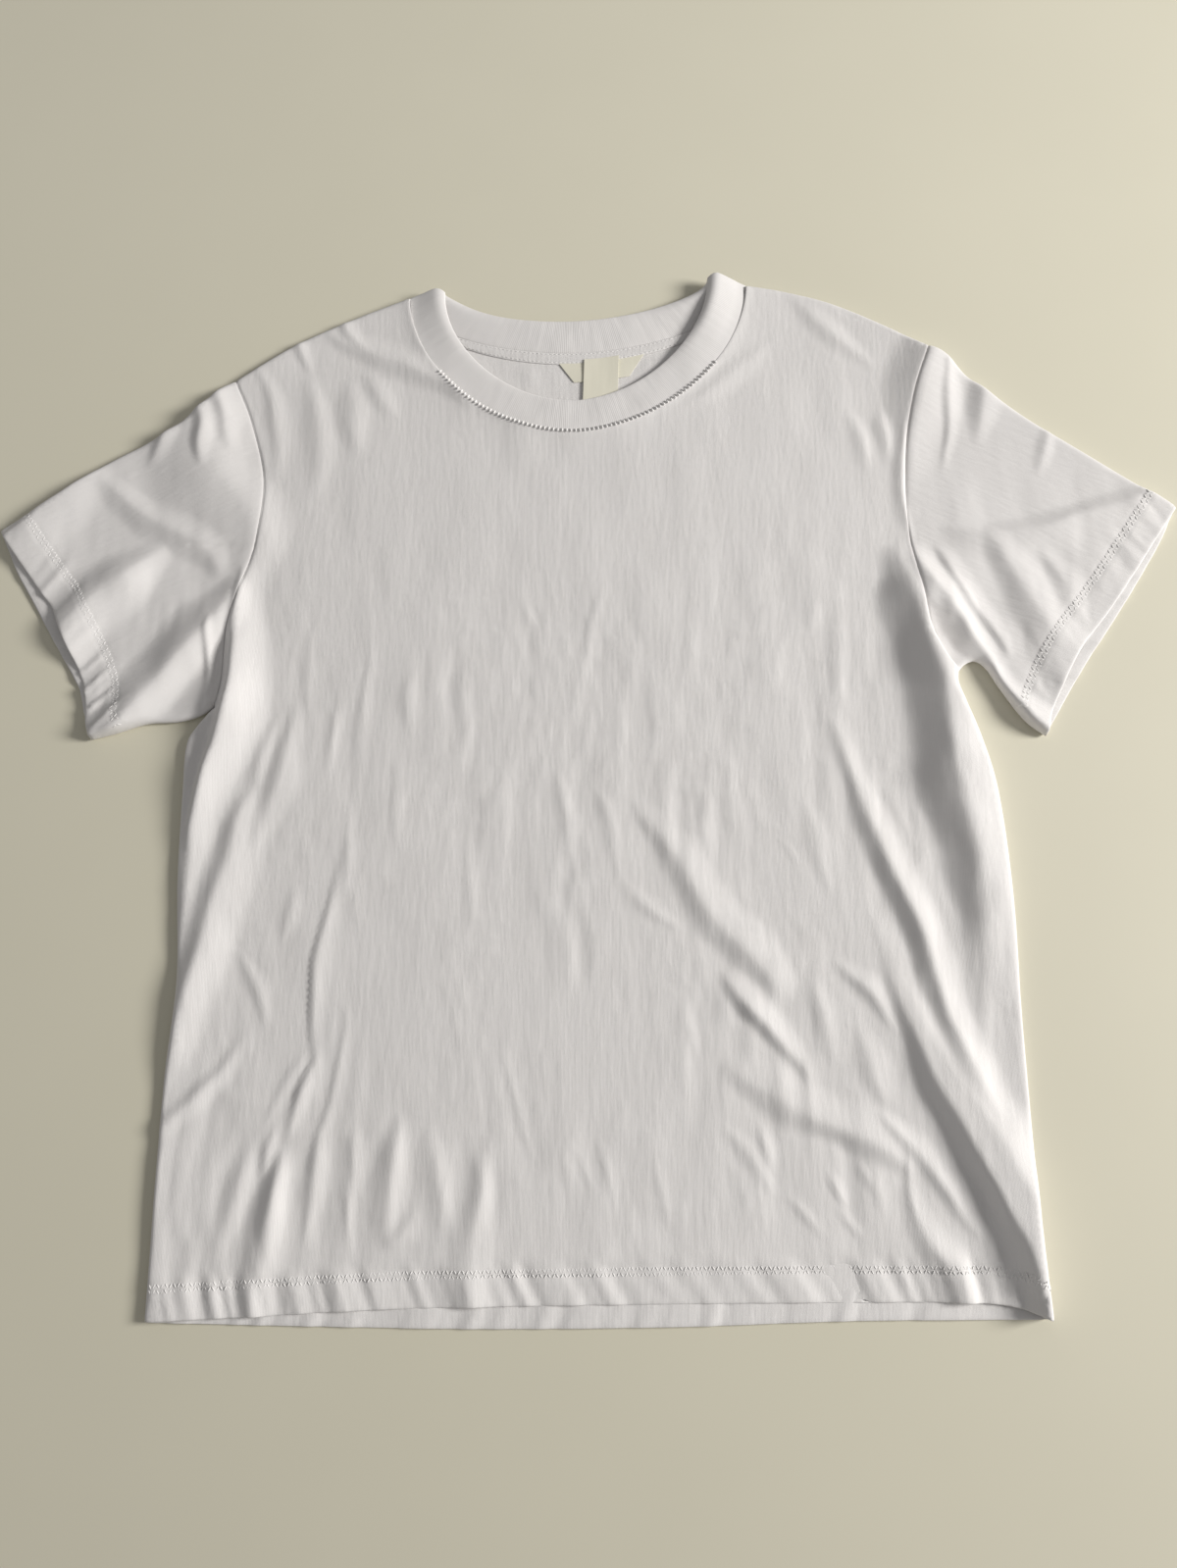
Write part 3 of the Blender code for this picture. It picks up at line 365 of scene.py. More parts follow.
# Smaller creases, in the same columns
CREASES = (
    ("right feeder", 7, 12, 0.5, (
        (148, -131, 0), (159, -143, 1.6), (170, -153, 2.2), (184, -177, 0),
    )),
    ("right thread", 3, 7, 0.8, ((185, -236, 0), (185, -257, 1), (186, -272, 0.8), (190, -288, 0))),
    ("right knot a", 3, 6, 0.5, ((138, -252, 0), (144, -264, 1.3), (149, -276, 0))),
    ("right knot b", 4, 4, 0.6, ((154, -247, 0), (160, -257, 0.8), (165, -268, 0))),
    ("right knot c", 3, 4, 0.6, ((168, -248, 0), (167, -262, 0.7), (170, -279, 0))),
    ("right knot d", 4, 4, 0.6, ((143, -273, 0), (150, -283, 0.9), (158, -292, 0))),
    ("right knot f", 6, 8, 0.5, ((101, -226, 0), (104, -240, 1.3), (107, -256, 0))),
    ("right knot e", 4, 6, 0.5, ((114, -266, 0), (124, -278, 0.9), (135, -292, 0))),
    ("right wide a", 9, 12, 0.3, ((133, -140, 0), (140, -167, 1.4), (147, -198, 0))),
    ("right wide b", 10, 14, 0.3, ((159, -168, 0), (168, -197, 1.5), (178, -221, 0))),
    ("right wide c", 9, 9, 0.4, ((134, -30, 0), (142, -60, 1), (149, -96, 0))),
    ("right line", 2, 4, 0.9, ((115, -53, 0), (125, -68, 0.5), (134, -86, 0))),
    ("middle start", 8, 10, 0.4, ((-21, -10, 0), (-15, -42, 0.9), (-5, -92, 0))),
    ("middle start second", 7, 8, 0.4, ((3, -20, 0), (12, -46, 0.8), (21, -84, 0))),
    ("middle ridge", 5, 9, 0.6, ((-75, -48, 0), (-74, -80, 0.9), (-72, -116, 0))),
    ("middle side", 8, 9, 0.4, ((20, -84, 0), (37, -100, 0.9), (58, -115, 0))),
    ("middle trace a", 3, 7, 0.8, ((-53, -180, 0), (-43, -218, 0.6), (-29, -258, 0))),
    ("middle trace b", 3, 6, 0.8, ((-10, -237, 0), (-3, -254, 0.6), (4, -274, 0))),
    ("middle trace c", 3, 6, 0.8, ((5, -232, 0), (10, -252, 0.6), (15, -274, 0))),
    ("middle trace d", 3, 6, 0.8, ((38, -242, 0), (43, -265, 0.6), (48, -288, 0))),
    ("middle trace e", 3, 6, 0.7, ((58, -156, 0), (62, -178, 0.5), (67, -201, 0))),
    ("middle low", 8, 8, 0.4, ((77, -227, 0), (92, -244, 1), (110, -269, 0))),
    ("chest fold", 5, 9, 0.6, ((11, 112, 0), (2, 89, 0.6), (-2, 64, 0.6), (-7, 36, 0))),
    ("left second", 10, 15, 0.3, ((-186, 30, 0), (-191, 4, 1.6), (-196, -24, 2.2), (-208, -66, 0))),
    ("left upper", 9, 8, 0.3, ((-196, 26, 0), (-205, -5, 1.2), (-211, -41, 0))),
    ("left arc", 7, 8, 0.4, ((-218, -123, 0), (-202, -142, 1.1), (-195, -157, 1), (-193, -176, 0))),
    ("left fourth", 11, 11, 0.3, ((-195, -234, 0), (-203, -265, 1.8), (-214, -306, 0))),
    ("left fine a", 5, 7, 0.4, ((-179, 86, 0), (-181, 50, 0.6), (-175, 15, 0))),
    ("left fine b", 5, 7, 0.4, ((-161, 46, 0), (-162, 12, 0.7), (-167, -21, 0))),
    ("left fine c", 4, 8, 0.6, ((-141, 86, 0), (-143, 42, 0.7), (-145, 3, 0.6), (-144, -40, 0))),
    ("left fine d", 4, 7, 0.5, ((-121, 0, 0), (-121, -36, 0.6), (-119, -71, 0))),
    ("left fine e", 4, 8, 0.6, ((-149, -32, 0), (-150, -67, 0.7), (-150, -101, 0))),
    ("left fine f", 7, 8, 0.4, ((-113, 59, 0), (-115, 35, 0.8), (-112, 8, 0))),
    ("left fine g", 6, 7, 0.4, ((-179, -84, 0), (-182, -103, 0.9), (-187, -122, 0))),
    ("left fine h", 6, 7, 0.4, ((-166, -184, 0), (-178, -206, 0.9), (-193, -239, 0))),
    ("long crease", 3, 12, 0.8, (
        (-153, -64, 0), (-158, -92, 1), (-164, -125, 1.8), (-166, -153, 1.8), (-164, -176, 1.3),
        (-158, -210, 0),
    )),
    ("long crease low", 3, 8, 0.7, (
        (-149, -152, 0), (-146, -174, 0.9), (-153, -216, 1), (-159, -238, 0.8), (-162, -269, 0),
    )),
    ("fan a", 4, 9, 0.6, ((-162, -186, 0), (-165, -199, 2), (-170, -215, 2.2), (-177, -242, 0))),
    ("fan b", 10, 10, 0.4, (
        (-177, -238, 0), (-181, -260, 2.1), (-182, -280, 2.3), (-182, -308, 0),
    )),
    ("fan bright", 5, 6, 0.5, ((-181, -226, 0), (-186, -243, 1.6), (-190, -262, 0))),
    ("fan c", 7, 10, 0.5, ((-155, -230, 0), (-158, -250, 1.6), (-160, -272, 1.4), (-163, -298, 0))),
    ("fan d", 5, 9, 0.5, ((-136, -226, 0), (-137, -250, 1), (-138, -284, 0))),
    ("fan e", 12, 9, 0.4, (
        (-108, -222, 0), (-112, -240, 2), (-115, -258, 2.2), (-116, -276, 2), (-116, -296, 0),
    )),
    ("fan f", 15, 11, 0.3, ((-93, -228, 0), (-90, -246, 1.5), (-87, -264, 1.5), (-82, -292, 0))),
    ("fan g", 14, 14, 0.4, (
        (-57, -231, 0), (-61, -257, 1.6), (-66, -290, 2), (-68, -312, 2), (-64, -334, 2),
    )),
    ("fan h", 3, 5, 0.7, ((-140, -250, 0), (-139, -275, 0.9), (-137, -305, 0))),
    ("fan i", 8, 10, 0.5, ((-99, -275, 0), (-108, -288, 1.4), (-120, -296, 0))),
    ("shoulder peak a", 5, 10, 0.5, ((-204, 301, 1.2), (-199, 286, 1.6), (-190, 266, 0))),
    ("shoulder peak b", 5, 10, 0.5, ((-171, 312, 1), (-166, 298, 1.4), (-152, 283, 0))),
    ("chest patch", 16, 15, 0.1, ((-165, 263, 0), (-160, 236, 1.7), (-154, 203, 0))),
    ("chest patch second", 12, 14, 0.1, ((-155, 271, 0), (-143, 251, 1.2), (-131, 232, 0))),
    ("chest side", 15, 14, 0.1, (
        (-193, 268, 0), (-184, 238, 1.5), (-181, 208, 1.3), (-184, 172, 0),
    )),
    ("chest edge", 8, 12, 0.3, ((-230, 278, 0), (-216, 245, 1.3), (-209, 215, 1), (-210, 181, 0))),
    ("chest right", 12, 12, 0.3, ((138, 332, 0), (170, 298, 1.5), (197, 272, 0))),
    ("chest right low", 10, 12, 0.3, ((131, 297, 0), (94, 264, 1.1), (58, 239, 0))),
    ("cap low", 9, 4, 0.4, ((215, 238, 0), (211, 201, 1.6), (211, 170, 1.6), (217, 132, 0))),
    ("cap crease", 10, 8, 0.2, ((196, 242, 0), (200, 223, 1.5), (203, 198, 0))),
    ("cap crease second", 10, 8, 0.2, ((177, 241, 0), (185, 218, 1.1), (188, 193, 0))),
    ("right cap rise", 5, 10, 0.3, (
        (246, 276, 0.8), (246, 252, 1.5), (244, 226, 1.2), (238, 190, 0),
    )),
    ("right cap notch", 12, 13, 0.3, ((272, 272, 2), (268, 243, 2.2), (263, 212, 0))),
    ("right cap second", 8, 8, 0.4, ((313, 233, 0), (307, 212, 1.1), (299, 190, 0))),
    ("right sleeve band", 12, 26, 0.25, (
        (232, 152, 0), (258, 149, 2), (285, 150, 3.2), (325, 160, 3.7), (360, 170, 3.6),
        (380, 177, 3.2),
    )),
    ("right sleeve soft", 5, 12, 0.4, (
        (228, 142, 0), (238, 125, 2), (251, 98, 2.4), (262, 80, 2), (272, 60, 0),
    )),
    ("right sleeve short", 11, 16, 0.15, ((298, 140, 0), (310, 114, 1.8), (321, 86, 0))),
    ("right sleeve corner", 11, 14, 0.2, ((283, 88, 0), (292, 67, 1.6), (305, 32, 1.6))),
    ("left cap first", 8, 12, 0.4, (
        (-266, 246, 1.5), (-260, 228, 2.6), (-261, 211, 2.2), (-258, 196, 0),
    )),
    ("left cap second", 8, 14, 0.4, (
        (-254, 256, 2), (-247, 238, 2.8), (-245, 224, 1.8), (-241, 208, 0),
    )),
    ("left cap outer", 9, 12, 0.3, (
        (-288, 236, 1.6), (-284, 224, 2.6), (-290, 208, 1.5), (-296, 196, 0),
    )),
    ("left sleeve arc", 18, 17, 0.2, (
        (-328, 190, 0), (-310, 172, 2.2), (-291, 159, 3.2), (-270, 148, 3.2), (-250, 136, 2.6),
        (-240, 116, 0),
    )),
    ("left sleeve rise", 7, 32, 0.2, (
        (-386, 142, 3.4), (-368, 158, 3.8), (-351, 175, 3.6), (-338, 190, 2.6),
    )),
    ("left bunch", 5, 6, 0.3, (
        (-244, 92, 0), (-245, 80, 1.4), (-244, 66, 2.2), (-243, 52, 2.2), (-243, 38, 1.6),
        (-241, 24, 2.4),
    )),
    ("left cuff a", 3, 4, 0.4, ((-311, 66, 0), (-318, 57, 1), (-327, 49, 1))),
    ("left cuff b", 3, 4, 0.4, ((-305, 56, 0), (-314, 47, 1.2), (-323, 38, 1.2))),
    ("left cuff c", 3, 5, 0.4, ((-298, 44, 0), (-309, 34, 1.4), (-319, 24, 1.4))),
    ("left cuff d", 3, 4, 0.4, ((-294, 34, 0), (-304, 23, 1.2), (-314, 13, 1.2))),
)

# Unevenness, in rows of height, cell_x, cell_y, seed and an angle where the cells are turned
SWELLS = ((0.26, 74, 96, 11), (0.18, 37, 52, 12, 0.4), (0.34, 18, 42, 13, 0.1))
SWAY_X = ((9, 150, 110, 25), (2.2, 26, 34, 26))  # how the crinkles sway
SWAY_Y = (5, 30, 30, 27)
CRINKLES = (
    # seed, height, cell_x, cell_y, patch_x, patch_y, calm, ridged
    (21, 0.52, 8.5, 46, 42, 70, 0.2, 0.0),
    (22, 0.28, 5.4, 26, 26, 44, 0.2, 0.5),
    (23, 0.24, 4.6, 13, 34, 34, 0.3, 0.4),
    (24, 0.42, 11, 21, 60, 50, 0.5, 0.6),
)
PATCH_SEED, RIDGE_SEED = 100, 50  # added to the crinkles' own
PATCH_CONTRAST = 0.9
RIDGE_LEVEL, RIDGE_HEIGHT, RIDGE_STRETCH = 0.5, 1.7, 1.6
CHEST_CALM = 0.2  # share of the crinkles that is left on the upper chest
CHEST_CALM_FROM, CHEST_CALM_OVER = 190 * MM, 140 * MM

# How a fold varies along its way, in rows of cell_x, cell_y and the first fold's seed
WOBBLE_X = (21 * MM, 27 * MM, 300)
WOBBLE_Y = (24 * MM, 21 * MM, 400)
WIDTH_CELLS = (30 * MM, 30 * MM, 500)
HEIGHT_CELLS = (26 * MM, 26 * MM, 600)
CREASE_WOBBLE = 1.4 * MM
WIDTH_SHARE = 0.18
HEIGHT_SHARE = 0.12
END_WIDTH = 0.45  # share of its width that a fold keeps where it runs out
KEEN_TIP = 0.06  # how round a sharp crest still is
KEEN_SPAN = 0.942
MASK_MARGIN = 4 * MM

# Hollows: the cloth is held down to level within half_width of the line, and rises by slope beyond
HOLLOWS = (
    # name, level, start_half_width, end_half_width, slope on the -X side and on the other, points
    ("right underarm", 3.8, 0.4, 5.0, 3.0, 0.45, (
        (217, 106), (222, 89), (228, 75), (235, 63), (244, 54),
    )),
)
HOLLOW_BLEND = 1.2 * MM
HOLLOW_START = 9 * MM  # how much higher a hollow lies where it starts
HOLLOW_START_SHARE = 0.45

FAR_AWAY = 1.0  # metres, more than any distance on the shirt
CHUNK = 6000  # points worked out at a time
SEAM_REACH = 30 * MM
EDGE_NEAR = 0.2 * MM  # closer than this, the way in is square to the edge
ON_EDGE = 1e-7  # closer than this, a point is one of the edge's own
NOISE_SHIFT = (97.3, 61.7)
NOISE_GRID = 256


# --- curves ---------------------------------------------------------------------------------------


def smooth_curve(points_mm):
    """A dense line through named points given in millimetres, rounded between them."""
    p = np.array(points_mm, float) * MM
    p = np.vstack([2 * p[0] - p[1], p, 2 * p[-1] - p[-2]])
    t = np.linspace(0, 1, CURVE_STEPS, endpoint=False)[:, None]
    line = []
    for a, b, c, d in zip(p[:-3], p[1:-2], p[2:-1], p[3:]):
        line.append(
            b
            + 0.5 * t * (c - a)
            + t**2 * (a - 2.5 * b + 2 * c - 0.5 * d)
            + t**3 * (1.5 * b - 1.5 * c + 0.5 * d - 0.5 * a)
        )
    return np.vstack(line + [p[-2:-1]])


def length_of(line):
    return np.linalg.norm(np.diff(line, axis=0), axis=1).sum()


def at_share(line, share):
    """Points of a line at shares of its length."""
    step = np.linalg.norm(np.diff(line, axis=0), axis=1)
    along = np.concatenate([[0], np.cumsum(step)])
    at = np.asarray(share) * along[-1]
    return np.stack([np.interp(at, along, line[:, k]) for k in range(line.shape[1])], axis=-1)


def spaced(line, step):
    """A line with its points an even step apart."""
    count = max(2, round(length_of(line) / step))
    return at_share(line, np.linspace(0, 1, count + 1))


def neck_curve(angle, centre, half_width, tilt, drop):
    """Half of a neck edge: angle 0 is the neck point on the right and pi the one on the left."""
    power = 2 / NECK_ROUNDNESS
    across = np.sign(np.cos(angle)) * np.abs(np.cos(angle)) ** power
    down = np.abs(np.sin(angle)) ** power
    return np.stack(
        [centre[0] + half_width * across, centre[1] + tilt * across - drop * down], axis=-1
    )


def neck_seam(angle, drop, inset=0.0):
    return neck_curve(angle, NECK_CENTRE, NECK_HALF_WIDTH - inset, NECK_TILT, drop - inset)


side_left, side_right = smooth_curve(SIDE_LEFT), smooth_curve(SIDE_RIGHT)
armhole_left, armhole_right = smooth_curve(ARMHOLE_LEFT), smooth_curve(ARMHOLE_RIGHT)
shoulder_left, shoulder_right = smooth_curve(SHOULDER_LEFT), smooth_curve(SHOULDER_RIGHT)
top_left, top_right = smooth_curve(SLEEVE_TOP_LEFT), smooth_curve(SLEEVE_TOP_RIGHT)
foot_left, foot_right = smooth_curve(SLEEVE_FOOT_LEFT), smooth_curve(SLEEVE_FOOT_RIGHT)
cuff_left, cuff_right = smooth_curve(CUFF_LEFT), smooth_curve(CUFF_RIGHT)
hem_front, hem_back = smooth_curve(HEM_FRONT), smooth_curve(HEM_BACK)
HALF_TURN = np.linspace(0, math.pi, 181)
neck_front = neck_seam(HALF_TURN, NECK_DROP_FRONT)
neck_back = neck_seam(HALF_TURN, NECK_DROP_BACK)

# Every folded edge, run so that the cloth lies on its left hand
BODY_EDGES = (side_right, shoulder_right[::-1], shoulder_left[::-1], side_left[::-1])
LEFT_SLEEVE_EDGES = (top_left, foot_left[::-1])
RIGHT_SLEEVE_EDGES = (foot_right, top_right[::-1])
FOLDED_EDGES = BODY_EDGES + LEFT_SLEEVE_EDGES + RIGHT_SLEEVE_EDGES


class Away:
    """How far points are from a line, the nearest points, the line's way there and its share.

    Points beyond reach of the line's box aren't worked out, and count as far away.
    """

    def __init__(self, points, line, reach=1.0):
        count = len(points)
        self.away = np.full(count, FAR_AWAY)
        self.near = points.copy()
        self.way = np.tile([1.0, 0.0], (count, 1))
        self.share = np.zeros(count)
        within = ((points > line.min(0) - reach) & (points < line.max(0) + reach)).all(1)
        start, way = line[:-1], np.diff(line, axis=0)
        size = (way * way).sum(1)
        for use in np.array_split(np.flatnonzero(within), 1 + count // CHUNK):
            p = points[use]
            t = np.clip(((p[:, None] - start) * way).sum(2) / size, 0, 1)
            near = start + t[..., None] * way
            far = ((p[:, None] - near) ** 2).sum(2)
            i, row = far.argmin(1), np.arange(len(p))
            self.away[use], self.near[use] = np.sqrt(far[row, i]), near[row, i]
            self.way[use], self.share[use] = way[i], (i + t[row, i]) / len(way)


def to_folded_edge(points, edges=FOLDED_EDGES):
    """Distance of points from the nearest folded edge, and the way in from it."""
    best = np.full(len(points), FAR_AWAY)
    inward = np.zeros((len(points), 2))
    for line in edges:
        to = Away(points, line, EDGE_REACH)
        normal = np.stack([-to.way[:, 1], to.way[:, 0]], axis=1)
        normal /= np.linalg.norm(normal, axis=1)[:, None]
        radial = (points - to.near) / np.maximum(to.away, 1e-9)[:, None]
        use = (to.away > EDGE_NEAR) & ((radial * normal).sum(1) > 0)
        way = np.where(use[:, None], radial, normal)
        closer = to.away < best
        best = np.where(closer, to.away, best)
        inward[closer] = way[closer]
    return best, inward


# --- unevenness -----------------------------------------------------------------------------------


def noise(points, cell_x, cell_y, seed, turned=0.0):
    """Smooth unevenness from -1 to 1, in cells of a size, which may be turned by an angle."""
    cos, sin = math.cos(turned), math.sin(turned)
    x = (points[:, 0] * cos + points[:, 1] * sin) / cell_x + NOISE_SHIFT[0]
    y = (points[:, 1] * cos - points[:, 0] * sin) / cell_y + NOISE_SHIFT[1]
    grid = np.random.default_rng(seed).uniform(-1, 1, (NOISE_GRID, NOISE_GRID))
    i, j = np.floor(x).astype(int), np.floor(y).astype(int)
    u, v = x - i, y - j
    u, v = u * u * u * (u * (6 * u - 15) + 10), v * v * v * (v * (6 * v - 15) + 10)

    def value(di, dj):
        return grid[(i + di) % NOISE_GRID, (j + dj) % NOISE_GRID]

    low = value(0, 0) * (1 - u) + value(1, 0) * u
    high = value(0, 1) * (1 - u) + value(1, 1) * u
    return low * (1 - v) + high * v


def swelling(points, height, cell_x, cell_y, seed, turned=0.0):
    """Unevenness of a height, from one row of a table in millimetres."""
    return height * MM * noise(points, cell_x * MM, cell_y * MM, seed, turned)


def own_noise(points, cells, number=0):
    """Unevenness that the numbered fold or band has of its own."""
    cell_x, cell_y, seed = cells
    return noise(points, cell_x, cell_y, seed + number)


def dent(away, reach):
    """From 1 on a line down to 0, most of it within reach."""
    return np.exp(-((away / reach) ** 2))


def fade(value):
    """From 1 at 0 to 0 at 1 and beyond."""
    v = np.clip(value, 0, 1)
    return 0.5 * (1 + np.cos(math.pi * v))


def crest_profile(share, keen):
    """Height of a fold at a share of its width from the crest."""
    s = np.clip(share, 0, 1)
    rounded = np.sqrt(s * s + KEEN_TIP**2) - KEEN_TIP
    sharp = np.clip(1 - rounded / KEEN_SPAN, 0, 1) ** 2
    return (1 - keen) * (1 - s) ** 2 * (1 + 2 * s) + keen * sharp


def add_folds(points, height, folds):
    """Adds folds to heights over plan points."""
    for number, (name, shade, light, keen, path) in enumerate(folds):
        top = FLAT_TOPS.get(name, 0)
        line = smooth_curve(path)
        line, crest = line[:, :2], line[:, 2]
        reach = max(shade, top + light) * MM + MASK_MARGIN
        low, high = line.min(0) - reach, line.max(0) + reach
        use = np.flatnonzero(((points > low) & (points < high)).all(1))
        if not len(use):
            continue
        p = points[use]
        wobble = np.column_stack([own_noise(p, cells, number) for cells in (WOBBLE_X, WOBBLE_Y)])
        p = p + CREASE_WOBBLE * wobble
        to = Away(p, line, reach)
        here = np.interp(to.share, np.linspace(0, 1, len(crest)), crest)
        aside = p - to.near
        on_left = to.way[:, 0] * aside[:, 1] > to.way[:, 1] * aside[:, 0]
        in_shade = on_left == (line[-1, 1] > line[0, 1])
        beyond_top = np.where(in_shade, to.away, np.maximum(to.away - top * MM * to.share, 0))
        share = END_WIDTH + (1 - END_WIDTH) * np.abs(here) / np.abs(crest).max()
        width = np.where(in_shade, shade, light) * MM * share
        width = width * (1 + WIDTH_SHARE * own_noise(to.near, WIDTH_CELLS, number))
        varied = 1 + HEIGHT_SHARE * own_noise(to.near, HEIGHT_CELLS, number)
        height[use] += here * varied * crest_profile(beyond_top / width, keen)
    return height


def press_hollows(points, height):
    """Holds heights down along the hollows."""
    for _, level, start, end, slope_west, slope_east, path in HOLLOWS:
        to = Away(points, smooth_curve(path), SEAM_REACH)
        wide = (start + (end - start) * to.share) * MM
        slope = np.where(points[:, 0] < to.near[:, 0], slope_west, slope_east)
        ceiling = level * MM + HOLLOW_START * fade(to.share / HOLLOW_START_SHARE)
        ceiling = ceiling + slope * np.maximum(to.away - wide, 0)
        over = np.clip(0.5 + 0.5 * (height - ceiling) / HOLLOW_BLEND, 0, 1)
        pressed = height + (ceiling - height) * over - HOLLOW_BLEND * over * (1 - over)
        height[:] = np.where(to.away < SEAM_REACH, pressed, height)
    return height


def smooth_step(value):
    v = np.clip(value, 0, 1)
    return v * v * (3 - 2 * v)


# --- heights of the front -------------------------------------------------------------------------


def turning(distance, roll=ROLL):
    """How much of its height a folded edge has reached at a distance from the outline."""
    return np.sqrt(np.clip(1 - (1 - np.clip(distance / roll, 0, 1)) ** 2, 0, 1))


BANDS = (  # the line of the turned edge, the band's width, its rows of stitches, its puckers' share
    (hem_front, HEM_BAND, HEM_ROWS, 1.0),
    (cuff_left[:, :2], CUFF_BAND, CUFF_ROWS, 0.6),
    (cuff_right[:, :2], CUFF_BAND, CUFF_ROWS, 0.4),
)


def ledge(to, band):
    """The turned-up cloth lifts the face, and ends in a soft ledge."""
    return HEM_LEDGE * (1 - smooth_step((to.away - band + 0.5 * BAND_EASE) / BAND_EASE))


def band_run(to, line, lean):
    """Places along and across a band, for puckers that lean over."""
    return np.column_stack([to.share * length_of(line) + lean * PUCKER_SLANT * to.away, to.away])


def crinkles(points):
    """Fine uneven crinkles, drawn out along the cloth, with calm places between them."""
    sway = swelling(points, *SWAY_X[0]) + swelling(points, *SWAY_X[1])
    swayed = np.column_stack([points[:, 0] + sway, points[:, 1] + swelling(points, *SWAY_Y)])
    low = smooth_step((CHEST_CALM_FROM - points[:, 1]) / CHEST_CALM_OVER)
    total = np.zeros(len(points))
    for seed, height, cell_x, cell_y, patch_x, patch_y, calm, ridged in CRINKLES:
        wave = noise(swayed, cell_x * MM, cell_y * MM, seed)
        ridge = noise(swayed, RIDGE_STRETCH * cell_x * MM, cell_y * MM, seed + RIDGE_SEED)
        wave = (1 - ridged) * wave + ridged * (RIDGE_LEVEL - RIDGE_HEIGHT * np.abs(ridge))
        patch = noise(points, patch_x * MM, patch_y * MM, seed + PATCH_SEED)
        patch = smooth_step(0.5 + PATCH_CONTRAST * patch - 0.5 * calm)
        total += height * MM * wave * patch
    return total * (CHEST_CALM + (1 - CHEST_CALM) * low)


class Front:
    """The front of the cloth over plan points, with their distances from edges and seams."""

    def __init__(self, points):
        self.points = points
        self.edge = to_folded_edge(points)[0]
        self.neck = Away(points, neck_front).away
        self.bands = [Away(points, line, 4 * band) for line, band, _, _ in BANDS]
        self.form = FRONT_FLAT + EDGE_PUFF * np.clip(1 - self.edge / EDGE_REACH, 0, 1) ** 3
        self.form += NECK_RISE * np.exp(-self.neck / NECK_RISE_REACH)
        add_folds(points, self.form, FOLDS)
        for to, (_, band, _, _) in zip(self.bands, BANDS):
            self.form += HEM_RISE * fade((to.away - band) / band)  # eased over the layer below
        press_hollows(points, self.form)
        self.roll = ROLL + ROLL_SHARE * np.maximum(self.form - FRONT_FLAT - EDGE_PUFF, 0)

    def turned(self, height):
        return FRONT_SEAM_HEIGHT + (height - FRONT_SEAM_HEIGHT) * turning(self.edge, self.roll)

    def outer(self):
        return self.turned(self.form + self.relief())

    def inner(self):
        rounding = sum(np.clip(1 - to.away / HEM_ROUND, 0, 1) for to in self.bands)
        return self.turned(self.form - CLOTH + HEM_THINNING * CLOTH * rounding)

    def relief(self):
        """Small relief of the outer face: creases, crinkles, seams and hems."""
        points = self.points
        relief = add_folds(points, np.zeros(len(points)), CREASES)
        for swell in SWELLS:
            relief += swelling(points, *swell)
        relief += crinkles(points)
        for side, armhole in ((-1, armhole_left), (1, armhole_right)):
            to = Away(points, armhole, SEAM_REACH)
            lit = points[:, 0] > to.near[:, 0]
            sunk = np.where(lit, SEAM_SINK, SEAM_SINK_SHADED * SEAM_SINK)
            relief -= sunk * dent(to.away, np.where(lit, *SEAM_SINK_REACH))
            allowance = smooth_step(to.away / SEAM_ALLOWANCE_RISE)
            allowance *= fade((to.away - SEAM_ALLOWANCE_WIDTH) / SEAM_ALLOWANCE_FALL)
            relief += np.where(lit == (side > 0), SEAM_ALLOWANCE, 0) * allowance
        for line in SHOULDER_SEAMS:
            away = Away(points, smooth_curve(line), SEAM_REACH).away
            relief -= SHOULDER_SINK * dent(away, SHOULDER_SINK_REACH)
        relief += NECK_STRIP_RISE * fade((self.neck - NECK_STRIP) / NECK_STRIP_EASE)
        groove = self.neck - NECK_STRIP - NECK_GROOVE_REACH
        relief -= NECK_GROOVE * dent(groove, NECK_GROOVE_REACH)
        relief -= NECK_SINK * dent(self.neck, NECK_SINK_REACH)
        for number, (to, (line, band, rows, puckered)) in enumerate(zip(self.bands, BANDS)):
            relief += ledge(to, band)
            for row in rows:
                relief -= STITCH_SINK * dent(to.away - row, STITCH_SINK_REACH)
            run = band_run(to, line, 1)
            fine = own_noise(run, PUCKER_FINE_CELLS, number)
            pucker = own_noise(run, PUCKER_CELLS, number) + PUCKER_FINE * fine
            faded = fade((to.away - PUCKER_SHARE * band) / (PUCKER_SHARE * band))
            relief += PUCKER * puckered * pucker * faded
            turn = np.clip(1 - to.away / HEM_ROUND, 0, 1)
            relief -= 0.5 * (CLOTH + HEM_LEDGE) * (1 - np.sqrt(1 - turn**2))
        return relief


# --- heights of the back --------------------------------------------------------------------------

BACK_BANDS = (
    (hem_back, HEM_BAND, HEM_ROWS),
    (cuff_left[:, 2:], CUFF_BAND, CUFF_ROWS),
    (cuff_right[:, 2:], CUFF_BAND, CUFF_ROWS),
)

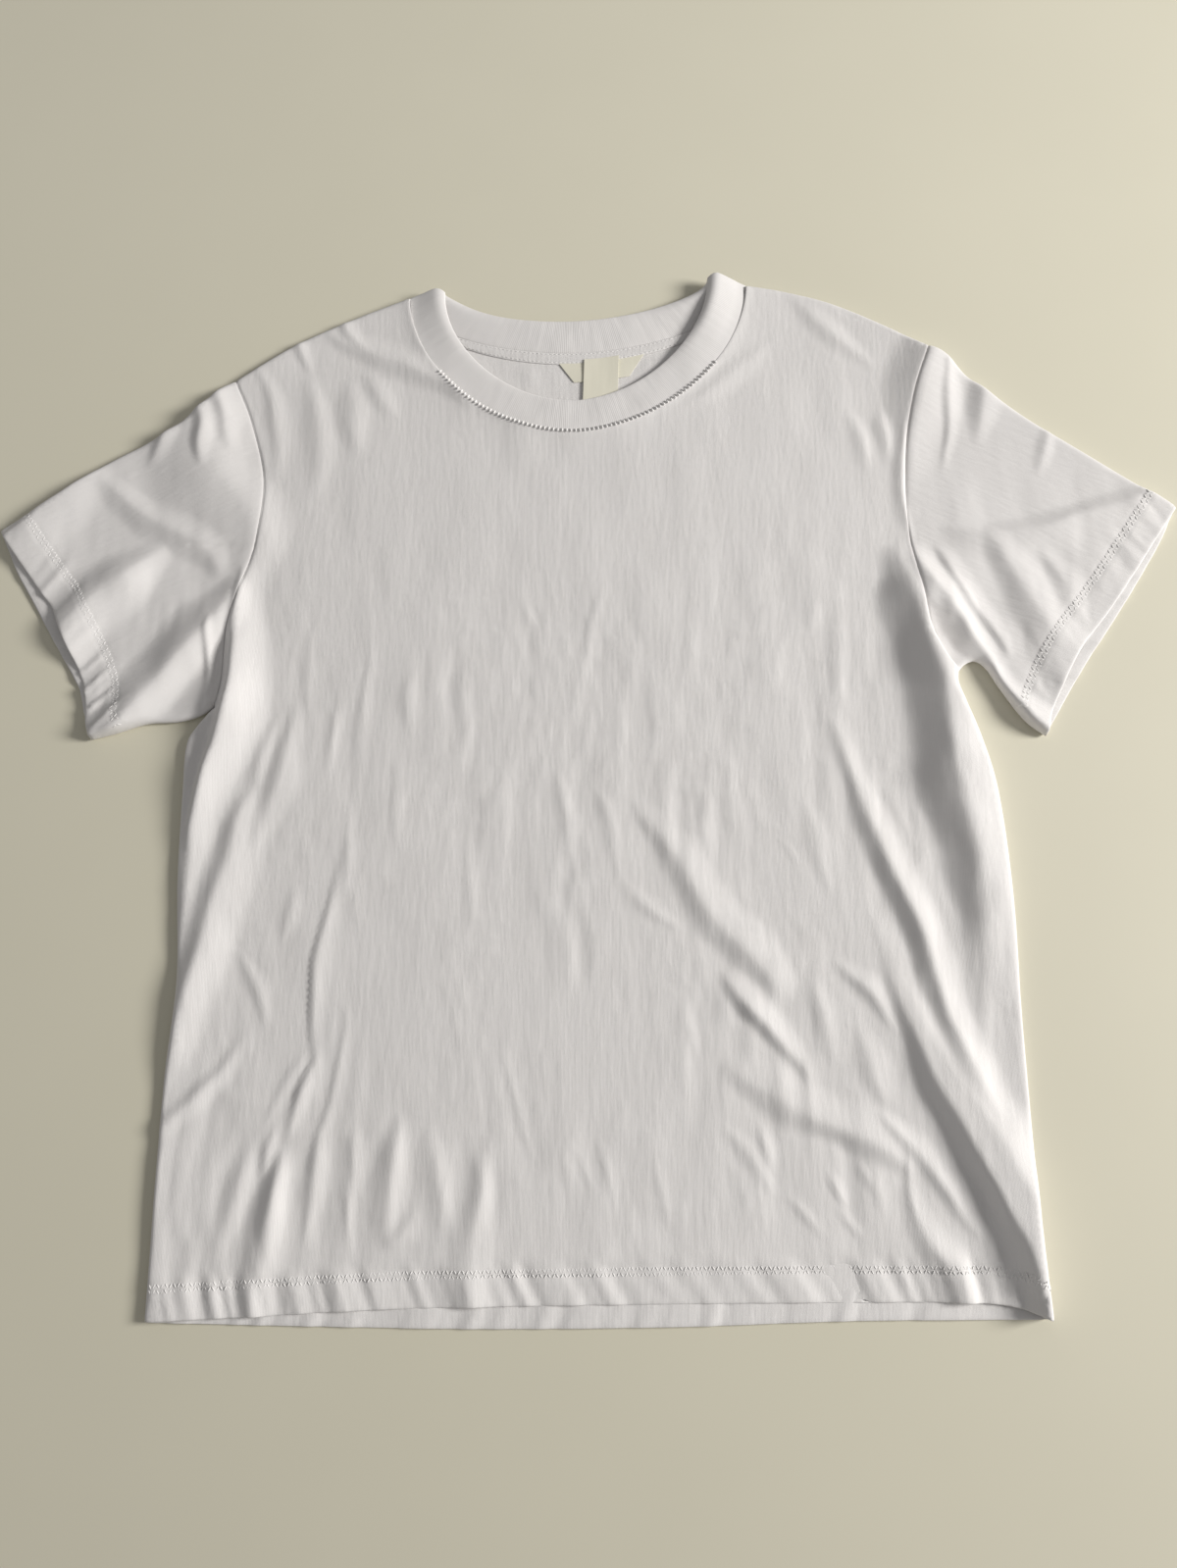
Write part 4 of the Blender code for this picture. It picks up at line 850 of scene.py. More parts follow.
BACK_CREASES = (  # troughs of the underside, in the columns of the folds
    ("left blade", 9, 7, 0.5, ((-176, 236, 0), (-150, 176, 0.6), (-142, 110, 0.5), (-150, 40, 0))),
    ("left flank", 8, 9, 0.5, ((-226, 60, 0), (-206, -10, 0.5), (-200, -90, 0.6), (-212, -170, 0))),
    ("left low", 7, 9, 0.6, (
        (-150, -150, 0), (-138, -210, 0.5), (-146, -270, 0.6), (-140, -338, 0.6),
    )),
    ("middle", 9, 9, 0.5, ((-20, 180, 0), (-8, 90, 0.5), (-22, 0, 0.4), (-10, -90, 0))),
    ("middle low", 8, 8, 0.6, ((30, -120, 0), (22, -190, 0.4), (40, -260, 0.5), (34, -340, 0.5))),
    ("right blade", 8, 9, 0.5, ((150, 250, 0), (132, 190, 0.6), (140, 120, 0.5), (122, 50, 0))),
    ("right flank", 9, 8, 0.5, ((232, 50, 0), (196, -20, 0.6), (178, -90, 0.5), (186, -170, 0))),
    ("right low", 8, 8, 0.6, (
        (150, -160, 0), (170, -220, 0.4), (190, -270, 0.6), (206, -338, 0.6),
    )),
    ("left sleeve", 7, 9, 0.5, ((-250, 150, 0), (-292, 118, 0.5), (-340, 84, 0))),
    ("left sleeve low", 7, 7, 0.5, ((-246, 96, 0), (-276, 66, 0.5), (-312, 40, 0))),
    ("right sleeve", 9, 7, 0.5, ((236, 190, 0), (290, 160, 0.5), (352, 146, 0))),
    ("right sleeve low", 7, 7, 0.5, ((240, 118, 0), (268, 86, 0.5), (300, 44, 0))),
)


def back_inner(points):
    """Upper face of the back: it shows in the neck, at the hem and in the cuffs."""
    up = turning(to_folded_edge(points)[0])
    height = np.full(len(points), CLOTH)
    for line, band, _ in BACK_BANDS:
        to = Away(points, line, 4 * band)
        height += ledge(to, band)
        pucker = PUCKER_BACK_LEVEL + own_noise(band_run(to, line, -1), PUCKER_BACK_CELLS)
        height += PUCKER_BACK * pucker * fade((to.away - PUCKER_BACK_SHARE * band) / band)
        height -= HEM_THINNING_BACK * CLOTH * np.clip(1 - to.away / HEM_ROUND, 0, 1)
    from_neck = Away(points, neck_back).away
    in_neck = fade((from_neck - NECK_BACK_START) / NECK_BACK_REACH)
    fine = noise(points, *NECK_BACK_FINE_CELLS)
    soft = noise(points, *NECK_BACK_CELLS) + NECK_BACK_FINE * fine
    below_tape = smooth_step((from_neck - TAPE_WIDTH) / NECK_BACK_BELOW_TAPE)
    height += NECK_BACK_SOFT * (soft + NECK_BACK_LEVEL) * in_neck * below_tape
    return BACK_SEAM_HEIGHT + (height - BACK_SEAM_HEIGHT) * up


def back_outer(points):
    """Underside: flat on the table, with shallow troughs, and turned up at the edges."""
    up = turning(to_folded_edge(points)[0])
    troughs = add_folds(points, np.zeros(len(points)), BACK_CREASES)
    for line, _, rows in BACK_BANDS:
        away = Away(points, line, SEAM_REACH).away
        for row in rows:
            troughs += STITCH_SINK_BACK * dent(away - row, STITCH_SINK_REACH)
        troughs += HEM_THINNING_BACK * CLOTH * np.clip(1 - away / HEM_ROUND, 0, 1)
    for armhole in (armhole_left, armhole_right):
        away = Away(points, armhole, SEAM_REACH).away
        troughs += SEAM_SINK_BACK * dent(away, SEAM_SINK_BACK_REACH)
    return BACK_SEAM_HEIGHT * (1 - up) + troughs * up


def moved_in(points, own_edges):
    """A wall's inner face lies further in where the cloth is turning over."""
    distance, inward = to_folded_edge(points, own_edges)
    return points + inward * (CLOTH * (1 - np.clip(distance / ROLL, 0, 1)))[:, None]


# --- meshes ---------------------------------------------------------------------------------------


def inside(points, loop):
    """Which points lie in a closed outline, by the edges that a ray to the right crosses."""
    result = np.zeros(len(points), bool)
    x, y = points[:, 0], points[:, 1]
    for (x0, y0), (x1, y1) in zip(loop, np.roll(loop, -1, axis=0)):
        if y0 == y1:
            continue
        crosses = (y < y0) != (y < y1)
        result ^= crosses & (x < x0 + (y - y0) * (x1 - x0) / (y1 - y0))
    return result


def filled(loop, step, rings):
    """Plan points and triangles of a closed outline: first it, then rings and then a lattice."""
    closed = np.vstack([loop, loop[:1]])
    tangent = np.roll(loop, -1, axis=0) - np.roll(loop, 1, axis=0)
    inward = np.column_stack([-tangent[:, 1], tangent[:, 0]])
    inward /= np.linalg.norm(inward, axis=1)[:, None]
    parts = [loop]
    for distance in rings:
        ring = loop + inward * distance
        parts.append(ring[Away(ring, closed).away > RING_CLEARANCE * distance])
    low, high = loop.min(0), loop.max(0)
    rise = step * math.sqrt(0.75)
    xs = np.arange(low[0], high[0], step)
    ys = np.arange(low[1], high[1], rise)
    x, y = np.meshgrid(xs, ys)
    x[1::2] += 0.5 * step
    lattice = np.column_stack([x.ravel(), y.ravel()])
    lattice = lattice[inside(lattice, loop)]
    clear = rings[-1] + LATTICE_CLEARANCE * step
    parts.append(lattice[clearance(lattice, loop) > clear])
    points = np.vstack(parts)
    count = len(loop)
    edges = [(i, (i + 1) % count) for i in range(count)]
    _, _, triangles, _, _, _ = delaunay_2d_cdt(points.tolist(), edges, [], 1, 1e-9)
    return points, np.array(triangles)


def clearance(points, loop):
    """Distance of points from the nearest corner of a closed outline."""
    tree = KDTree(len(loop))
    for i, (x, y) in enumerate(loop):
        tree.insert((x, y, 0), i)
    tree.balance()
    return np.array([tree.find((x, y, 0))[2] for x, y in points])


class Shell:
    """Collects the skins and rims of a closed wall of cloth."""

    def __init__(self):
        self.points, self.faces, self.count = [], [], 0

    def skin(self, plan, height, triangles):
        first = self.count
        self.points.append(np.column_stack([plan, height]))
        self.faces.extend((triangles + first).tolist())
        self.count += len(plan)
        return first

    def rim(self, first_a, first_b, members, size):
        for i in members:
            j = (i + 1) % size
            self.faces.append([first_a + i, first_a + j, first_b + j, first_b + i])

    def piece(self, name, material, uv_turn=0.0):
        mesh = bpy.data.meshes.new(name)
        mesh.from_pydata(np.vstack(self.points).tolist(), [], self.faces)
        return finished(name, mesh, material, uv_turn)


def placed(name, data):
    """An object in the scene."""
    made = bpy.data.objects.new(name, data)
    bpy.context.scene.collection.objects.link(made)
    return made


def finished(name, mesh, material, uv_turn=0.0, merge=1e-6):
    """Merges doubles, turns the faces outwards, shades smooth and gives the cloth its map."""
    shell = bmesh.new()
    shell.from_mesh(mesh)
    bmesh.ops.remove_doubles(shell, verts=shell.verts, dist=merge)
    bmesh.ops.recalc_face_normals(shell, faces=shell.faces)
    if shell.calc_volume(signed=True) < 0:
        bmesh.ops.reverse_faces(shell, faces=shell.faces)
    shell.to_mesh(mesh)
    shell.free()
    mesh.shade_smooth()
    mesh.materials.append(material)
    if "Cloth" not in mesh.uv_layers:
        corner = np.empty(len(mesh.loops), np.int32)
        mesh.loops.foreach_get("vertex_index", corner)
        place = np.empty(3 * len(mesh.vertices))
        mesh.vertices.foreach_get("co", place)
        plan = place.reshape(-1, 3)[corner][:, :2]
        cos, sin = math.cos(uv_turn), math.sin(uv_turn)
        along, up = plan[:, 0] * cos + plan[:, 1] * sin, plan[:, 1] * cos - plan[:, 0] * sin
        uv = np.column_stack([along, up])
        mesh.uv_layers.new(name="Cloth").data.foreach_set("uv", uv.ravel())
    return placed(name, mesh)


# --- panels ---------------------------------------------------------------------------------------


def outline_of(parts):
    """A closed outline from lines that meet end to end, and where each of them starts in it."""
    points, starts = [], []
    for line in parts:
        starts.append(sum(len(p) for p in points))
        points.append(spaced(line, OUTLINE_STEP)[:-1])
    return np.vstack(points), starts


def panel_outline(hem, neck):
    """Counter-clockwise, from the left end of the hem."""
    return outline_of((
        hem, side_right, armhole_right, shoulder_right[::-1], neck, shoulder_left[::-1],
        armhole_left[::-1], side_left[::-1],
    ))[0]


def joined_neck(drop, inset):
    """The neck edge from right to left, with its ends on the shoulders' ends."""
    line = neck_seam(HALF_TURN, drop, inset)
    line[0], line[-1] = shoulder_right[0], shoulder_left[-1]
    return line


def front_panel(material):
    loop = panel_outline(hem_front, joined_neck(NECK_DROP_FRONT, 0.0))
    shell = Shell()
    plan, triangles = filled(loop, FRONT_STEP, EDGE_RINGS)
    outer = shell.skin(plan, Front(plan).outer(), triangles)
    plan, triangles = filled(loop, INNER_STEP, EDGE_RINGS[1::2])
    inner = shell.skin(moved_in(plan, BODY_EDGES), Front(plan).inner(), triangles)
    shell.rim(outer, inner, range(len(loop)), len(loop))
    return shell.piece("front", material)


def back_panel(material):
    hem = hem_back.copy()
    hem[0], hem[-1] = side_left[0], side_right[0]
    loop = panel_outline(hem, joined_neck(NECK_DROP_BACK, 0.0))
    shell = Shell()
    plan, triangles = filled(loop, BACK_STEP, EDGE_RINGS)
    inner = shell.skin(moved_in(plan, BODY_EDGES), back_inner(plan), triangles)
    outer = shell.skin(plan, back_outer(plan), triangles)
    shell.rim(outer, inner, range(len(loop)), len(loop))
    return shell.piece("back", material)


# --- sleeves --------------------------------------------------------------------------------------


def sleeve_outline(side, seam, top, foot, cuff):
    """side is -1 on the left and 1 on the right."""
    parts = [seam[::-1], foot, cuff[::-1], top[::-1]]
    if side < 0:
        parts = [line[::-1] for line in parts[::-1]]
    return outline_of(parts)


def sleeve(name, side, armhole, top, foot, cuff, own_edges, material):
    seam = armhole.copy()
    seam[1:-1, 0] += side * ARMHOLE_GAP
    shell = Shell()
    skins = {}
    for layer, columns in (("front", cuff[:, :2]), ("back", cuff[:, 2:])):
        loop, starts = sleeve_outline(side, seam, top, foot, columns)
        size = len(loop)
        order = (0, 2) if side > 0 else (1, 3)
        ends = starts[1:] + [size]
        open_edges = [i for k in order for i in range(starts[k], ends[k])]
        for face, step, rings in (
            ("outer", SLEEVE_STEP, EDGE_RINGS), ("inner", SLEEVE_INNER_STEP, EDGE_RINGS[1::2])
        ):
            plan, triangles = filled(loop, step, rings)
            if layer == "front":
                height = Front(plan).outer() if face == "outer" else Front(plan).inner()
            else:
                height = back_outer(plan) if face == "outer" else back_inner(plan)
            fold = to_folded_edge(plan, own_edges)[0] < ON_EDGE
            height = np.where(fold, FRONT_SEAM_HEIGHT, height)
            if face == "inner":
                plan = moved_in(plan, own_edges)
            skins[face] = shell.skin(plan, height, triangles)
        shell.rim(skins["outer"], skins["inner"], open_edges, size)
    axis = cuff[:, :2].mean(0) - armhole.mean(0)
    return shell.piece(name, material, math.atan2(axis[1], axis[0]) - 0.5 * math.pi)


# --- neck -----------------------------------------------------------------------------------------


def rib_lines(angle, front):
    seam_drop = NECK_DROP_FRONT if front else NECK_DROP_BACK
    rim_drop = RIM_DROP_FRONT if front else RIM_DROP_BACK
    seam = neck_seam(angle, seam_drop, -NECK_TUCK if front else RIB_OVERLAP)
    rim = neck_curve(angle, RIM_CENTRE, RIM_HALF_WIDTH, RIM_TILT, rim_drop)
    if not front:
        rim[1] += RIM_FILL * max(-math.cos(angle), 0) ** 8 * math.sin(angle)
    return seam, rim


def rib_station(angle, front, turn):
    """Points across the rib's middle surface, from its seam to its free edge.

    turn is in degrees. Powers of sideways keep what they shape close to the folds.
    """
    seam, rim = rib_lines(angle, front)
    right = int(math.cos(angle) > 0)
    sideways = abs(math.cos(angle))
    across = rim - seam
    fold_seam, fold_rim = rib_lines(0.0 if right else math.pi, front)
    fold = fold_rim - fold_seam
    out = np.array([-fold[1], fold[0]]) / np.linalg.norm(fold)
    out = out if out[1] > 0 else -out
    around = math.radians(turn)
    bend = RIB_TURN - 0.5 * RIB_BACK_LIFT
    reach = bend * math.cos(around) - (bend + 0.5 * RIB) * sideways**8
    tuck = RIB_TUCK * sideways**8 * 0.5 * (1 - math.sin(around))
    back_height = 0.5 * RIB + RIB_CLEARANCE
    turned_height = back_height + RIB_BACK_LIFT + bend * (1 + math.sin(around))
    share = closing_in(RIB_SECTION // 2 + 1)
    rounded = np.clip((share - RIB_CORNER_START) / (1 - RIB_CORNER_START), 0, 1)
    corner = RIB_CORNER * rounded**2 * sideways**12
    place = seam + (tuck + share[:, None] * (1 - tuck)) * across + out * (reach - corner[:, None])
    back_flat = back_height + RIB_BACK_STAND * share * (1 - sideways**4)
    flat = back_flat + (RIB_FRONT_HEIGHT - back_flat) * 0.5 * (1 + math.sin(around))
    lifted = RIB_SEAM_LIFT + (1 - RIB_SEAM_LIFT) * smooth_step(share / RIB_LIFT_SHARE[right])
    stand = RIB_STAND[right] * np.interp(share, *RIB_RISE) * sideways ** (6 if front else 3)
    height = flat + (turned_height - flat) * lifted * sideways ** (6 if front else 5) + stand
    return np.column_stack([place, np.broadcast_to(height, share.shape)])


def neck_rib(material):
    front = np.linspace(math.pi, 0, RIB_FRONT_STATIONS)[1:-1]
    back = np.linspace(0, math.pi, RIB_BACK_STATIONS)
    turns = np.linspace(90, -90, RIB_TURN_STATIONS + 1)[:-1]
    stations = [rib_station(angle, True, 90) for angle in front]
    stations += [rib_station(0.0, True, turn) for turn in turns]
    stations += [rib_station(angle, False, -90) for angle in back]
    stations += [rib_station(math.pi, True, turn) for turn in turns[:0:-1]]
    stations.append(rib_station(math.pi, True, 90))
    middle = np.array(stations)
    along = np.roll(middle, -1, axis=0) - np.roll(middle, 1, axis=0)
    across = np.gradient(middle, axis=1)
    normal = np.cross(along, across)
    normal /= np.maximum(np.linalg.norm(normal, axis=2), 1e-12)[..., None]
    bend = np.linspace(0, math.pi, RIB_SECTION // 2 + 1)
    half = 0.5 * RIB * np.sin(bend) ** RIB_ROUNDNESS
    ring = middle[:, RIB_SECTION // 4]
    run = np.concatenate([[0], np.cumsum(np.linalg.norm(np.diff(ring, axis=0), axis=1))])
    share = closing_in(RIB_SECTION // 2 + 1)
    flat = middle.reshape(-1, 3)[:, :2]
    soft = RIB_SOFT * own_noise(flat, RIB_SOFT_CELLS).reshape(middle.shape[:2])
    upper = middle + normal * (half + soft * np.sin(bend))[..., None]
    lower = middle - normal * (half - soft * np.sin(bend))[..., None]
    section = np.concatenate([upper, lower[:, -2:0:-1]], axis=1)
    us, vs = section.shape[:2]
    run = np.append(run, run[-1] + np.linalg.norm(ring[0] - ring[-1]))
    width = np.concatenate([share, 2 - share[-2:0:-1]]) * RIB_WIDTH
    width = np.append(width, 2 * RIB_WIDTH)
    faces, uvs = [], []
    for u in range(us):
        for v in range(vs):
            here, beyond, across = u * vs, (u + 1) % us * vs, (v + 1) % vs
            faces.append([here + v, beyond + v, beyond + across, here + across])
            u0, u1, v0, v1 = run[u], run[u + 1], width[v], width[v + 1]
            uvs += [(u0, v0), (u1, v0), (u1, v1), (u0, v1)]
    mesh = bpy.data.meshes.new("neckband")
    mesh.from_pydata(section.reshape(-1, 3).tolist(), [], faces)
    mesh.uv_layers.new(name="Cloth").data.foreach_set("uv", np.array(uvs).ravel())
    return finished("neckband", mesh, material)


def plate(name, plan, base, thickness, material):
    """A ribbon over a grid of plan points and the heights of its under face."""
    us, vs = plan.shape[:2]
    lower = np.concatenate([plan, base[..., None]], axis=2).reshape(-1, 3)
    upper = lower + np.array([0, 0, thickness])
    faces = []
    for u in range(us - 1):
        for v in range(vs - 1):
            square = [u * vs + v, (u + 1) * vs + v, (u + 1) * vs + v + 1, u * vs + v + 1]
            faces.append(square)
            faces.append([us * vs + k for k in reversed(square)])
    rim = list(range(vs)) + [u * vs + vs - 1 for u in range(1, us)]
    rim += [(us - 1) * vs + v for v in range(vs - 2, -1, -1)]
    rim += [u * vs for u in range(us - 2, 0, -1)]
    for a, b in zip(rim, rim[1:] + rim[:1]):
        faces.append([a, b, us * vs + b, us * vs + a])
    mesh = bpy.data.meshes.new(name)
    mesh.from_pydata(np.vstack([lower, upper]).tolist(), [], faces)
    return finished(name, mesh, material)


def closing_in(count):
    """Shares from 0 to 1 that lie close together at both ends."""
    return 0.5 - 0.5 * np.cos(np.linspace(0, math.pi, count))


def tape_width(x):
    """The tape gets narrower towards its ends."""
    return TAPE_WIDTH * (1 - TAPE_TAPER * ((x - NECK_CENTRE[0]) / NECK_HALF_WIDTH) ** 2)


def tape_level(share, cloth=0.0):
    """Height of the tape's under face at a share of its width, with a cloth over it."""
    return TAPE_HEIGHT + cloth - TAPE_FALL * share + TAPE_CROWN * np.sin(math.pi * share)


def neck_tape(material):
    reach = math.acos(TAPE_END)
    seam = neck_seam(np.linspace(math.pi - reach, reach, TAPE_GRID[0]), NECK_DROP_BACK)
    share = closing_in(TAPE_GRID[1])
    down = share[None] * tape_width(seam[:, :1])
    plan = np.stack([np.broadcast_to(seam[:, :1], down.shape), seam[:, 1:] - down], axis=2)
    base = np.broadcast_to(tape_level(share)[None], down.shape)
    return plate("neck_tape_cloth", plan, base, TAPE_CLOTH, material)


def tape_foot(x):
    seam = neck_seam(np.linspace(math.pi, 0, 200), NECK_DROP_BACK)
    return np.interp(x, seam[:, 0], seam[:, 1]) - tape_width(x)


def loop_label(material):
    """A ribbon sewn in under the tape at both ends, which bows up a little between them."""
    down, across = closing_in(LABEL_GRID[0]), 2 * closing_in(LABEL_GRID[1]) - 1
    plan = np.empty((len(down), len(across), 2))
    for row, share in zip(plan, down):
        half = 0.5 * (LABEL_TOP_WIDTH + share * (LABEL_FOOT_WIDTH - LABEL_TOP_WIDTH))
        row[:, 0] = LABEL_CENTRE_X + half * across
        row[:, 1] = tape_foot(row[:, 0]) + LABEL_TUCK - share * (LABEL_DROP + LABEL_TUCK)
    base = back_inner(plan.reshape(-1, 2)).max() + LABEL_CLEARANCE
    risen = smooth_step((down[:, None] - LABEL_BOW_START) / LABEL_BOW_OVER)
    bow = LABEL_BOW * (1 - across**2) * risen
    return plate("loop_label_ribbon", plan, base + bow, RIBBON, material)


def size_label(material):
    """A bare tab that hangs from the tape over the loop label and runs on under the rib."""
    down, across = closing_in(TAB_GRID[0]), 2 * closing_in(TAB_GRID[1]) - 1
    plan = np.empty((len(down), len(across), 2))
    for row, share in zip(plan, down):
        row[:, 0] = LABEL_CENTRE_X + TAB_LEAN * share + 0.5 * TAB_WIDTH * across
        row[:, 1] = tape_foot(row[:, 0]) + LABEL_TUCK - share * (TAB_LENGTH + LABEL_TUCK)
    base = np.full(plan.shape[:2], TAB_HEIGHT)
    base += TAB_CURL * (across[None, :] ** 2) * fade(down[:, None] / TAB_CURL_SHARE)
    return plate("size_tab", plan, base, RIBBON, material)


# --- materials ------------------------------------------------------------------------------------


def cloth_group(name, inputs, output=("Float", "Height")):
    """A shader node group over the cloth's map, with more named inputs (type, name, value).

    Also gives what it is wired with, its inputs by name and its only output.
    """
    group = bpy.data.node_groups.new(name, "ShaderNodeTree")
    for kind, socket, value in (("Vector", "Cloth", None), *inputs):
        made = group.interface.new_socket(socket, in_out="INPUT", socket_type="NodeSocket" + kind)
        if value is not None:
            made.default_value = value
    kind, socket = output
    group.interface.new_socket(socket, in_out="OUTPUT", socket_type="NodeSocket" + kind)
    wire = Wires(group)
    start, end = wire.node("NodeGroupInput"), wire.node("NodeGroupOutput")
    return group, wire, start.outputs, end.inputs[socket]


class Wires:
    """Short hands for building a node tree."""

    def __init__(self, tree):
        self.tree = tree

    def feed(self, socket, value):
        if isinstance(value, bpy.types.NodeSocket):
            self.tree.links.new(value, socket)
        elif value is not None:
            socket.default_value = value

    def node(self, kind, inputs=None, **settings):
        """A new node with its inputs fed, by name or number."""
        made = self.tree.nodes.new(kind)
        for name, value in settings.items():
            setattr(made, name, value)
        for socket, value in (inputs or {}).items():
            self.feed(made.inputs[socket], value)
        return made

    def math(self, operation, *values):
        inputs = dict(enumerate(values))
        return self.node("ShaderNodeMath", inputs, operation=operation).outputs[0]

    def mix(self, share, a, b, blend_type="MIX"):
        inputs = {0: share, 6: a, 7: b}
        made = self.node("ShaderNodeMix", inputs, data_type="RGBA", blend_type=blend_type)
        return made.outputs[2]

    def noise(self, vector, scale, detail=2.0, roughness=0.5):
        inputs = {"Vector": vector, "Scale": scale, "Detail": detail, "Roughness": roughness}
        return self.node("ShaderNodeTexNoise", inputs).outputs["Fac"]

    def stretched(self, vector, x, y, turn=0.0):
        inputs = {"Vector": vector, "Scale": (x, y, 1), "Rotation": (0, 0, turn)}
        return self.node("ShaderNodeMapping", inputs).outputs["Vector"]

    def axes(self, vector):
        return self.node("ShaderNodeSeparateXYZ", {0: vector}).outputs

    def wave(self, value, size):
        """Sine of a value in waves of a size."""
        turns = self.math("DIVIDE", value, size)
        return self.math("SINE", self.math("MULTIPLY", turns, 2 * math.pi))

    def blend(self, a, share_a, b, share_b):
        """The sum of two values, each times its share."""
        first, second = self.math("MULTIPLY", a, share_a), self.math("MULTIPLY", b, share_b)
        return self.math("ADD", first, second)

    def group(self, tree, values):
        return self.node("ShaderNodeGroup", values, node_tree=tree)


def jersey_knit():
    """Rows of V loops: wales run along the cloth's own length and courses across it."""
    sizes = (("Float", "Wale width", WALE), ("Float", "Course height", COURSE))
    group, wire, given, height = cloth_group("jersey knit", sizes)
    x, y, _ = wire.axes(given["Cloth"])
    wale = wire.math("FRACT", wire.math("DIVIDE", x, given["Wale width"]))
    course = wire.math("DIVIDE", y, given["Course height"])
    aside = wire.math("MULTIPLY", wire.math("ABSOLUTE", wire.math("SUBTRACT", wale, 0.5)), 2.0)
    leg = wire.math("SINE", wire.math("MULTIPLY", wire.math("ADD", course, aside), 2 * math.pi))
    body = wire.math("SUBTRACT", 1.0, wire.math("MULTIPLY", aside, aside))
    wire.feed(height, wire.blend(body, 0.6, leg, 0.4))
    return group


def cloth_crumple():
    """Creases too small to mesh: drawn-out ones along the cloth and a fine crumb over them."""
    group, wire, given, height = cloth_group("cloth crumple", [("Float", "Fineness", 1.0)])
    inputs = {0: given["Cloth"], "Scale": given["Fineness"]}
    cloth = wire.node("ShaderNodeVectorMath", inputs, operation="SCALE").outputs[0]
    long_creases = wire.noise(wire.stretched(cloth, 300, 55, 0.04), 1.0, 1.5, 0.45)
    crumbs = wire.noise(wire.stretched(cloth, 300, 170, -0.3), 1.0, 2.0, 0.5)
    wire.feed(height, wire.blend(long_creases, 0.7, crumbs, 0.3))
    return group


def cloth_mottle():
    """Slight unevenness of a dyed or bleached cloth's colour, in patches and in its yarn."""
    group, wire, given, colour = cloth_group("cloth mottle", [
        ("Color", "Colour", (0.8, 0.8, 0.8, 1)), ("Color", "Patch colour", (0.7, 0.7, 0.7, 1)),
        ("Float", "Patch size", 0.04),
    ], ("Color", "Colour"))
    patches = wire.noise(given["Cloth"], wire.math("DIVIDE", 1.0, given["Patch size"]), 3.0)
    yarn = wire.noise(wire.stretched(given["Cloth"], 420, 160), 1.0, 2.0)
    share = wire.blend(patches, 0.7, yarn, 0.3)
    wire.feed(colour, wire.mix(share, given["Colour"], given["Patch colour"]))
    return group


def band_ribs():
    """Fine ribs that run across the neckband, along the second axis of its map."""
    group, wire, given, height = cloth_group("band ribs", [("Float", "Rib width", BAND_RIB)])
    x, y, _ = wire.axes(given["Cloth"])
    ribs = wire.blend(wire.wave(x, given["Rib width"]), 0.4, wire.wave(y, COURSE), 0.1)
    wire.feed(height, wire.math("ADD", ribs, 0.5))
    return group


def ribbon_weave():
    """Close ribs of a woven ribbon across its length."""
    group, wire, given, height = cloth_group("ribbon weave", [("Float", "Rib", RIBBON_RIB)])
    along, across = [wire.wave(axis, given["Rib"]) for axis in wire.axes(given["Cloth"])[:2]]
    wire.feed(height, wire.math("MULTIPLY", wire.math("ADD", along, across), 0.25))
    return group


def cloth_material(name, groups, colour, patch, roughness, sheen, relief):
    """relief is a list of (group, its values, depth in metres)."""
    material = bpy.data.materials.new(name)
    material.use_nodes = True
    wire = Wires(material.node_tree)
    cloth = wire.node("ShaderNodeUVMap", uv_map="Cloth").outputs[0]
    mottle = wire.group(groups["mottle"], {
        "Cloth": cloth, "Colour": (*colour, 1), "Patch colour": (*patch, 1),
        "Patch size": PATCH_SIZE,
    })
    normal = None
    for group, values, depth in relief:
        height = wire.group(groups[group], {"Cloth": cloth, **values}).outputs[0]
        inputs = {"Distance": depth, "Height": height, "Normal": normal}
        normal = wire.node("ShaderNodeBump", inputs).outputs[0]
    shader = material.node_tree.nodes["Principled BSDF"].inputs
    wire.feed(shader["Base Color"], mottle.outputs[0])
    wire.feed(shader["Normal"], normal)
    shader["Roughness"].default_value = roughness
    shader["Specular IOR Level"].default_value = 0.3
    shader["Sheen Weight"].default_value = sheen
    shader["Sheen Roughness"].default_value = 0.5
    return material


def cloth_materials():
    groups = {
        "knit": jersey_knit(), "crumple": cloth_crumple(), "mottle": cloth_mottle(),
        "ribs": band_ribs(), "weave": ribbon_weave(),
    }
    knit = ("knit", {"Wale width": WALE, "Course height": COURSE}, 0.00005)
    ribs = ("ribs", {"Rib width": BAND_RIB}, 0.00006)
    weave = ("weave", {"Rib": RIBBON_RIB}, 0.00003)
    ply = ("weave", {"Rib": THREAD_PLY}, 0.00003)
    finishes = (  # slot, name, colours, roughness, sheen, fineness and depth of crumple, knit
        ("jersey", "white jersey", WHITE, WHITE_PATCH, 0.9, 0.08, (1.0, 0.0003), knit),
        ("rib", "white rib", WHITE, WHITE_PATCH, 0.9, 0.08, (0.7, 0.0004), ribs),
        ("tape", "white tape", WHITE, WHITE_PATCH, 0.9, 0.08, (1.5, 0.0003), knit),
        ("label", "cream ribbon", CREAM, CREAM_PATCH, 0.5, 0.1, (0.5, 0.0002), weave),
        ("thread", "white thread", THREAD, WHITE, 0.6, 0.1, None, ply),
    )
    made = {}
    for slot, name, colour, patch, roughness, sheen, crumple, fine in finishes:
        relief = [("crumple", {"Fineness": crumple[0]}, crumple[1])] if crumple else []
        made[slot] = cloth_material(
            name, groups, colour, patch, roughness, sheen, relief + [fine]
        )
    return made


# --- stitches -------------------------------------------------------------------------------------


